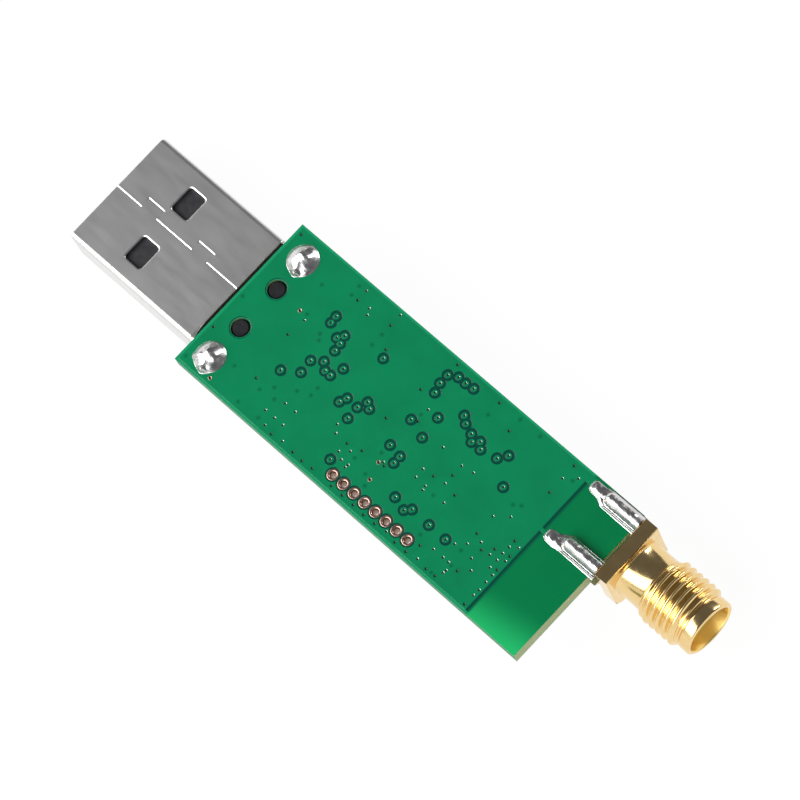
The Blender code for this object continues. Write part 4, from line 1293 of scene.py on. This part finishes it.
def add_jack_barrel():
    """The turned barrel: neck, helical thread, groove, front lip, and a bore in brighter gold as
    painted light.
    """
    profile = [(0.03, BORE_RADIUS), (0.03, NECK_RADIUS), (FLANGE_THICKNESS - 0.05, NECK_RADIUS)]
    profile += [
        (FLANGE_THICKNESS, NECK_RADIUS + 0.16), (FLANGE_THICKNESS + 0.03, NECK_RADIUS + 0.09),
        (FLANGE_THICKNESS + 0.08, NECK_RADIUS + 0.03), (FLANGE_THICKNESS + 0.16, NECK_RADIUS),
        (THREAD_START - 0.32, NECK_RADIUS), (THREAD_START - 0.26, NECK_RADIUS + 0.03),
    ]
    rows = 150
    thread_end = THREAD_END + 0.15
    for i in range(rows + 1):
        along = THREAD_START - 0.22 + (thread_end - THREAD_START + 0.22) * i / rows
        profile.append((along, ROOT_RADIUS))
    profile += [
        (thread_end + 0.06, NECK_RADIUS - 0.02), (thread_end + 0.12, NECK_RADIUS - 0.03),
        (LIP_START - 0.12, NECK_RADIUS - 0.02), (LIP_START - 0.06, NECK_RADIUS + 0.01),
        (LIP_START + 0.04, LIP_RADIUS - 0.04), (LIP_START + 0.1, LIP_RADIUS - 0.01),
        (LIP_START + 0.18, LIP_RADIUS),
    ]
    length = JACK_MOUTH - FLANGE_X
    profile += [
        (length - 0.22, LIP_RADIUS), (length - 0.14, LIP_RADIUS - 0.02),
        (length - 0.07, LIP_RADIUS - 0.07), (length - 0.02, LIP_RADIUS - 0.15),
        (length, LIP_RADIUS - 0.2), (length, MOUTH_RADIUS + 0.14),
        (length - 0.02, MOUTH_RADIUS + 0.07), (length - 0.08, MOUTH_RADIUS + 0.02),
        (length - 0.16, MOUTH_RADIUS), (INSULATOR_FRONT, MOUTH_RADIUS),
        (INSULATOR_FRONT, BORE_RADIUS + 0.02), (INSULATOR_FRONT - 0.05, BORE_RADIUS),
    ]

    def thread(along, radius, turns):
        if radius != ROOT_RADIUS:
            return 0.0
        phase = (along - THREAD_START) / THREAD_PITCH - turns / (2 * math.pi)
        wave = (0.5 - 0.5 * np.cos(2 * math.pi * phase)) ** 0.8
        start = smooth_step(THREAD_START - 0.25, THREAD_START + 0.35, along)
        end = 1.0 - smooth_step(THREAD_END - 0.25, THREAD_END + 0.15, along)
        fade = NECK_RADIUS - ROOT_RADIUS
        ends = 1.0 - min(
            smooth_step(THREAD_START - 0.25, THREAD_START, along),
            1.0 - smooth_step(THREAD_END, THREAD_END + 0.15, along),
        )
        return (CREST_RADIUS - ROOT_RADIUS) * wave * start * end + fade * ends

    steps = 128
    barrel = turned_mesh("jack_barrel", profile, steps, place_jack, thread)
    slots = [0] * len(barrel.polygons)
    slots[-6 * steps :] = [1] * (6 * steps)
    barrel.polygons.foreach_set("material_index", slots)
    add_piece("jack_barrel", barrel, ["gold", "bore_gold_lit"], smooth=30.0)


add_jack_barrel()


def add_jack_legs():
    for side, y in LEG_PLACES.items():
        for level, z in (
            ("top", 0.1 + LEG_HEIGHT / 2), ("bottom", UNDERSIDE - 0.1 - LEG_HEIGHT / 2)
        ):
            leg = bmesh.new()
            centre = (FLANGE_X - LEG_LENGTH / 2 + 0.2, y, z)
            block(leg, (LEG_LENGTH + 0.4, LEG_WIDTH, LEG_HEIGHT), centre, 0.14, 3)
            add_piece(f"jack_leg_{level}_{side}", mesh_of("jack_leg", leg), ["gold"])


add_jack_legs()


# Parts on the component side


def add_fillets(name, places, replaces=()):
    """Solder feet on the component side, in one piece: centre, pad size, wetted size and rise."""
    shape = bmesh.new()
    for centre, pad, wetted, rise in places:
        outline = rounded_rectangle((0.0, 0.0), pad, min(pad) * 0.22, 3)
        reach = max(pad[0] - wetted[0], pad[1] - wetted[1]) / 2

        def height(u, v, pad=pad, wetted=wetted, rise=rise, reach=reach):
            out = np.clip(box_distance(u, v, (0.0, 0.0), wetted, 0.02) / max(reach, 0.05), 0.0, 1.0)
            return 0.03 + (rise - 0.03) * (1.0 - out) ** 2

        step = max(min(pad) / 6, 0.08)
        folds = hatch((-pad[0] / 2, -pad[1] / 2), (pad[0] / 2, pad[1] / 2), step)
        drop = sheet_mesh(
            name, [outline], folds, height, lambda u, v: np.full(len(u), -0.03), below_board(centre)
        )
        shape.from_mesh(drop)
        bpy.data.meshes.remove(drop)
    add_piece(name, mesh_of(name, shape), ["solder"], replaces, smooth=50.0)


def add_two_terminal_part(name, body):
    """A chip part: its body, its wrapped metal ends, and the solder that they stand in."""
    low, high = box_mm(name)
    size = high - low
    middle = (low + high) / 2
    axis = 0 if size.x > size.y else 1
    long, wide, tall = size[axis], size[1 - axis], size.z
    cap = long * 0.24
    shape = bmesh.new()
    thin = 0.02 * long + 0.01

    def oriented(values):
        return values if axis == 0 else (values[1], values[0], values[2])

    block(shape, oriented((long - 0.08, wide - 2 * thin, tall - 2 * thin)), middle, wide * 0.06)
    for sign in (-1, 1):
        along = sign * (long - cap) / 2
        at = Vector(middle)
        at[axis] += along
        for face in block(shape, oriented((cap, wide, tall)), at, wide * 0.09):
            face.material_index = 1
    add_piece(f"{name}_chip", mesh_of(name, shape), [body, "solder"], [name])
    feet = []
    for sign in (-1, 1):
        at = Vector(middle)
        at[axis] += sign * (long - cap * 0.4) / 2
        pad = oriented((cap * 1.9, wide * 1.12, 0.0))[:2]
        wetted = oriented((cap * 0.9, wide * 0.96, 0.0))[:2]
        feet.append((at[:2], pad, wetted, 0.1 + tall * 0.45))
    add_fillets(f"{name}_solder", feet)


def add_two_terminal_parts():
    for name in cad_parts:
        kind = name.rsplit("_", 1)[0]
        if kind == "capacitor" or name == "balun":
            add_two_terminal_part(name, "ceramic")
        elif kind == "resistor":
            add_two_terminal_part(name, "epoxy")
        elif kind == "inductor" or name == "ferrite_bead":
            add_two_terminal_part(name, "ferrite")


add_two_terminal_parts()


def add_radio_chip():
    low, high = box_mm("radio_chip")
    middle = (low + high) / 2
    shape = bmesh.new()
    block(shape, high - low, middle, 0.06, 2)
    body = mesh_of("radio_chip_body", shape)
    add_piece("radio_chip_body", body, ["epoxy"], ["radio_chip"])
    mark = turned_mesh(
        "radio_chip_dimple",
        [(0.0, 0.2), (0.012, 0.22), (0.012, 0.26), (0.0, 0.28), (-0.04, 0.24)], 24,
        lambda a, p, q: np.stack([low.x + 0.6 + p, high.y - 0.6 + q, low.z - a + 0.004], 1),
    )
    add_piece("radio_chip_dimple", mark, ["epoxy"])
    feet = []
    half = (high.x - low.x) / 2
    for row in range(9):
        shift = (row - 4) * 0.5
        for sign in (-1, 1):
            feet.append(((middle.x + sign * half, middle.y + shift), (0.7, 0.27), (0.3, 0.22), 0.3))
            feet.append(((middle.x + shift, middle.y + sign * half), (0.27, 0.7), (0.22, 0.3), 0.3))
    add_fillets("radio_chip_solder", feet)


add_radio_chip()


def add_bent_leads(name, places, material="solder"):
    """Flat leads that step down from a body to the board.

    Each lead has a root, a direction, a length, a width and its root's z."""
    shape = bmesh.new()
    for (x, y), (dx, dy), reach, width, root_z in places:
        foot_z = UNDERSIDE - 0.09
        path = [(0.0, root_z), (reach * 0.35, root_z), (reach * 0.55, foot_z), (reach, foot_z)]
        thick = 0.13
        for (a0, z0), (a1, z1) in zip(path, path[1:]):
            length = math.hypot(a1 - a0, z1 - z0) + thick * 0.6
            tilt = math.atan2(z1 - z0, a1 - a0)
            turn = math.atan2(dy, dx)
            size = (length, width, thick)
            faces = block(shape, size, (0.0, 0.0, 0.0), 0.03)
            verts = list({vert for face in faces for vert in face.verts})
            middle = Vector((x + dx * (a0 + a1) / 2, y + dy * (a0 + a1) / 2, (z0 + z1) / 2))
            placed = (
                Matrix.Translation(middle) @ Matrix.Rotation(turn, 4, "Z")
                @ Matrix.Rotation(-tilt, 4, "Y")
            )
            bmesh.ops.transform(shape, matrix=placed, verts=verts)
    add_piece(name, mesh_of(name, shape), [material])


def add_regulator():
    low, high = box_mm("voltage_regulator")
    middle = (low + high) / 2
    shape = bmesh.new()
    block(shape, high - low, middle, 0.1, 2)
    body = mesh_of("regulator_body", shape)
    add_piece("regulator_body", body, ["epoxy"], ["voltage_regulator"])
    leads, feet = [], []
    for sign, rows in ((-1, (-0.95, 0.0, 0.95)), (1, (-0.95, 0.95))):
        for shift in rows:
            root = (middle.x + sign * (high.x - low.x) / 2, middle.y + shift)
            leads.append((root, (sign, 0.0), 0.6, 0.4, middle.z))
            feet.append(((root[0] + sign * 0.45, root[1]), (0.6, 0.6), (0.34, 0.4), 0.12))
    add_bent_leads("regulator_leads", leads)
    add_fillets("regulator_solder", feet)


add_regulator()


def add_button_feet():
    for side in ("left", "right"):
        low, high = box_mm(f"button_housing_{side}")
        leads, feet = [], []
        for sign, edge in ((-1, low.x), (1, high.x)):
            for y in (low.y + 0.7, high.y - 0.7):
                leads.append(((edge, y), (sign, 0.0), 0.75, 0.5, UNDERSIDE - 0.75))
                feet.append(((edge + sign * 0.55, y), (0.8, 0.75), (0.4, 0.5), 0.14))
        add_bent_leads(f"button_legs_{side}", leads, "stamped")
        add_fillets(f"button_solder_{side}", feet)


add_button_feet()


def add_other_feet():
    feet = []
    for name in ("power", "data_minus", "data_plus", "ground"):
        low, high = box_mm(f"usb_contact_{name}")
        feet.append(((high.x - 0.6, (low.y + high.y) / 2), (1.7, 1.35), (1.2, 1.0), 0.2))
    add_fillets("usb_contact_solder", feet)
    feet = []
    for number in range(1, 11):
        low, high = box_mm(f"header_pin_{number}")
        feet.append((((low.x + high.x) / 2, (low.y + high.y) / 2), (2.3, 0.75), (1.9, 0.4), 0.22))
    add_fillets("header_solder", feet)
    low, high = box_mm("crystal_base")
    corners = [
        ((x, y), (1.0, 0.85), (0.7, 0.6), 0.2)
        for x in (low.x + 0.35, high.x - 0.35) for y in (low.y + 0.3, high.y - 0.3)
    ]
    add_fillets("crystal_solder", corners)
    for side in ("left", "right"):
        low, high = box_mm(f"led_base_{side}")
        middle_y = (low.y + high.y) / 2
        ends = [
            ((x, middle_y), (0.75, 1.3), (0.35, 1.1), 0.26) for x in (low.x + 0.1, high.x - 0.1)
        ]
        add_fillets(f"led_solder_{side}", ends)


add_other_feet()


def add_marking(name, centre, size, line=0.13):
    """A printed frame round a part."""
    low = rounded_rectangle((0.0, 0.0), size, 0.12, 2)
    inner = rounded_rectangle((0.0, 0.0), (size[0] - 2 * line, size[1] - 2 * line), 0.05, 2)
    frame_sheet = sheet_mesh(
        name, [low, inner], [], lambda u, v: np.full(len(u), 0.02),
        lambda u, v: np.full(len(u), -0.02), below_board(centre),
    )
    add_piece(name, frame_sheet, ["ink"], smooth=None)


def add_markings():
    for side in ("left", "right"):
        for part, grow in (("button_housing", (0.5, 0.6)), ("led_base", (1.3, 0.7))):
            low, high = box_mm(f"{part}_{side}")
            middle = (low + high) / 2
            size = (high.x - low.x + grow[0], high.y - low.y + grow[1])
            centre = (middle.x, max(-HALF_WIDTH + size[1] / 2 + 0.1, middle.y))
            add_marking(f"marking_{part}_{side}", centre, size)
    low, high = box_mm("header_body")
    add_marking("marking_header", ((low.x + high.x) / 2, (low.y + high.y) / 2), (5.4, 7.2))


add_markings()


# Snap domes

DOME_SHEET = 0.08


def dome_mesh(centre, radius, seat, rise, rings=6, steps=32):
    """A thin domed disc that hangs from its rim: an inner and an outer skin, joined at the rim."""
    points = []
    for level in (seat, seat - DOME_SHEET):
        for ring in range(rings):
            share = 1.0 - ring / rings
            for step in range(steps):
                turn = 2 * math.pi * step / steps
                points.append((
                    centre.x + radius * share * math.cos(turn),
                    centre.y + radius * share * math.sin(turn),
                    level - rise * (1.0 - share**2),
                ))
        points.append((centre.x, centre.y, level - rise))
    skin = rings * steps + 1
    faces = []
    for step in range(steps):
        after = (step + 1) % steps
        faces.append((step, after, skin + after, skin + step))
        for base in (0, skin):
            for ring in range(rings - 1):
                near, far = base + ring * steps, base + (ring + 1) * steps
                faces.append((near + step, near + after, far + after, far + step))
            last = base + (rings - 1) * steps
            faces.append((last + step, last + after, base + skin - 1))
    return mesh_from("snap_dome", points, faces)


def add_snap_domes():
    """Snap domes in place of the CAD ones, each with its own copy of its mesh."""
    for side in ("left", "right"):
        low, high = box_mm(f"button_dome_{side}")
        centre = (low + high) / 2
        rise = high.z - low.z - DOME_SHEET
        dome = add_piece(
            f"snap_dome_{side}", dome_mesh(centre, (high.x - low.x) / 2, high.z, rise),
            ["stamped"], [f"button_dome_{side}"],
        )
        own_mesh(dome)


add_snap_domes()


# CAD nodes that are kept

KEPT = {  # material, and width of the rounded edges
    "usb_insulator": ("insulator", 0.08),
    "usb_contact_power": ("contact_gold", 0.05),
    "usb_contact_data_minus": ("contact_gold", 0.05),
    "usb_contact_data_plus": ("contact_gold", 0.05),
    "usb_contact_ground": ("contact_gold", 0.05),
    "jack_insulator": ("white_plastic", 0.05),
    "jack_contact": ("contact_gold", 0.03),
    "crystal_base": ("ceramic", 0.02),
    "crystal_lid": ("stamped", 0.03),
    "header_body": ("black", 0.05),
}
for side in ("left", "right"):
    KEPT[f"button_housing_{side}"] = ("black", 0.08)
    KEPT[f"button_cover_{side}"] = ("stamped", 0.04)
    KEPT[f"button_plunger_{side}"] = ("black", 0.03)
    KEPT[f"led_base_{side}"] = ("white_plastic", 0.02)
    KEPT[f"led_lens_{side}"] = ("lens", 0.06)
for number in range(1, 11):
    KEPT[f"header_pin_{number}"] = ("contact_gold", 0.03)


def dress_kept_nodes():
    for name, (material, width) in KEPT.items():
        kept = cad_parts[name]
        kept.data.materials.clear()
        kept.data.materials.append(MATERIALS[material])
        if width:
            rounding = kept.modifiers.new("rounded_edges", "BEVEL")
            rounding.width = width * MM
            rounding.segments = 2
            rounding.limit_method = "ANGLE"
            rounding.angle_limit = math.radians(40)


dress_kept_nodes()


# Studio


def add_area_light(name, place, size, radiance, aim=(0.0, 0.0, 0.0)):
    """A soft rectangular light of a given brightness, which the camera itself doesn't see."""
    light = bpy.data.lights.new(name, "AREA")
    light.shape = "RECTANGLE"
    light.size, light.size_y = size
    light.energy = radiance * size[0] * size[1] * math.pi
    lamp = bpy.data.objects.new(name, light)
    lamp.location = place
    lamp.rotation_euler = (Vector(aim) - Vector(place)).to_track_quat("-Z", "Y").to_euler()
    lamp.visible_camera = False
    bpy.context.scene.collection.objects.link(lamp)


LIGHTS = {  # place, size, brightness, and what it faces, in metres
    "key": ((-0.18, -0.41, 0.41), (1.3, 0.46), 2.6),
    "key_core": ((-0.17, -0.39, 0.39), (1.0, 0.26), 3.6),
    "side_wall": ((0.0, -0.55, 0.09), (1.5, 0.18), 0.8, (0.0, 0.0, 0.09)),
    "front_wall": ((0.6, 0.0, 0.10), (0.9, 0.20), 0.9, (0.0, 0.0, 0.10)),
    "end_wall": ((-0.6, 0.0, 0.09), (0.8, 0.18), 1.0, (0.0, 0.0, 0.09)),
    "strip": ((0.05, 0.52, 0.18), (0.14, 0.27), 8.0),
}
FLOOR_HALF = 2.5
FLOOR_GLOW = 0.965


def add_studio():
    world = bpy.data.worlds.new("studio")
    bpy.context.scene.world = world
    world.use_nodes = True
    tree = world.node_tree
    dome = tree.nodes["Background"]
    dome.inputs["Color"].default_value = (0.125, 0.125, 0.13, 1.0)
    backdrop = tree.nodes.new("ShaderNodeBackground")
    backdrop.inputs["Color"].default_value = (0.95, 0.95, 0.95, 1.0)
    path = tree.nodes.new("ShaderNodeLightPath")
    mixer = tree.nodes.new("ShaderNodeMixShader")
    tree.links.new(path.outputs["Is Camera Ray"], mixer.inputs["Fac"])
    tree.links.new(dome.outputs[0], mixer.inputs[1])
    tree.links.new(backdrop.outputs[0], mixer.inputs[2])
    tree.links.new(mixer.outputs[0], tree.nodes["World Output"].inputs["Surface"])

    for name, light in LIGHTS.items():
        add_area_light(name, *light)

    floor = bpy.data.meshes.new("floor")
    half = FLOOR_HALF
    corners = [(-half, -half, 0.0), (half, -half, 0.0), (half, half, 0.0), (-half, half, 0.0)]
    floor.from_pydata(corners, [], [(0, 1, 2, 3)])
    material = make_material("floor", (0.04, 0.04, 0.04), roughness=0.9)
    shader = shader_of(material)
    shader.inputs["Emission Color"].default_value = (1.0, 1.0, 1.0, 1.0)
    shader.inputs["Emission Strength"].default_value = FLOOR_GLOW
    shader.inputs["Specular IOR Level"].default_value = 0.0
    facing = node(material, "ShaderNodeNewGeometry")
    clear = node(material, "ShaderNodeBsdfTransparent")
    choice = node(material, "ShaderNodeMixShader")
    join(material, facing, "Backfacing", choice, 0)
    join(material, shader, "BSDF", choice, 1)
    join(material, clear, "BSDF", choice, 2)
    join(material, choice, "Shader", material.node_tree.nodes["Material Output"], "Surface")
    floor.materials.append(material)
    stage = bpy.data.objects.new("floor", floor)
    bpy.context.scene.collection.objects.link(stage)


CAMERA_AZIMUTH = -17.84  # from +X towards +Y
CAMERA_ELEVATION = 67.70
CAMERA_ROLL = -30.07  # how far the board's upright turns from the picture's
CAMERA_DISTANCE = 406.4
CAMERA_LENS = 216.4
CAMERA_AIM = (17.69, 1.97, 0.0)


def add_camera():
    data = bpy.data.cameras.new("camera")
    data.lens = CAMERA_LENS
    data.sensor_width = 36.0
    data.clip_start = 0.01
    camera = bpy.data.objects.new("camera", data)
    turn, lift = math.radians(CAMERA_AZIMUTH), math.radians(CAMERA_ELEVATION)
    away = Vector((
        math.cos(turn) * math.cos(lift), math.sin(turn) * math.cos(lift), math.sin(lift)
    ))
    aim = ORIGIN + Vector(CAMERA_AIM) * MM
    level = (-away).to_track_quat("-Z", "Y").to_matrix()
    roll = Matrix.Rotation(math.radians(CAMERA_ROLL), 3, away)
    place = Matrix.Translation(aim + away * CAMERA_DISTANCE * MM)
    camera.matrix_world = place @ (roll @ level).to_4x4()
    bpy.context.scene.collection.objects.link(camera)
    bpy.context.scene.camera = camera


add_studio()
add_camera()
bpy.context.scene.view_settings.view_transform = "Standard"
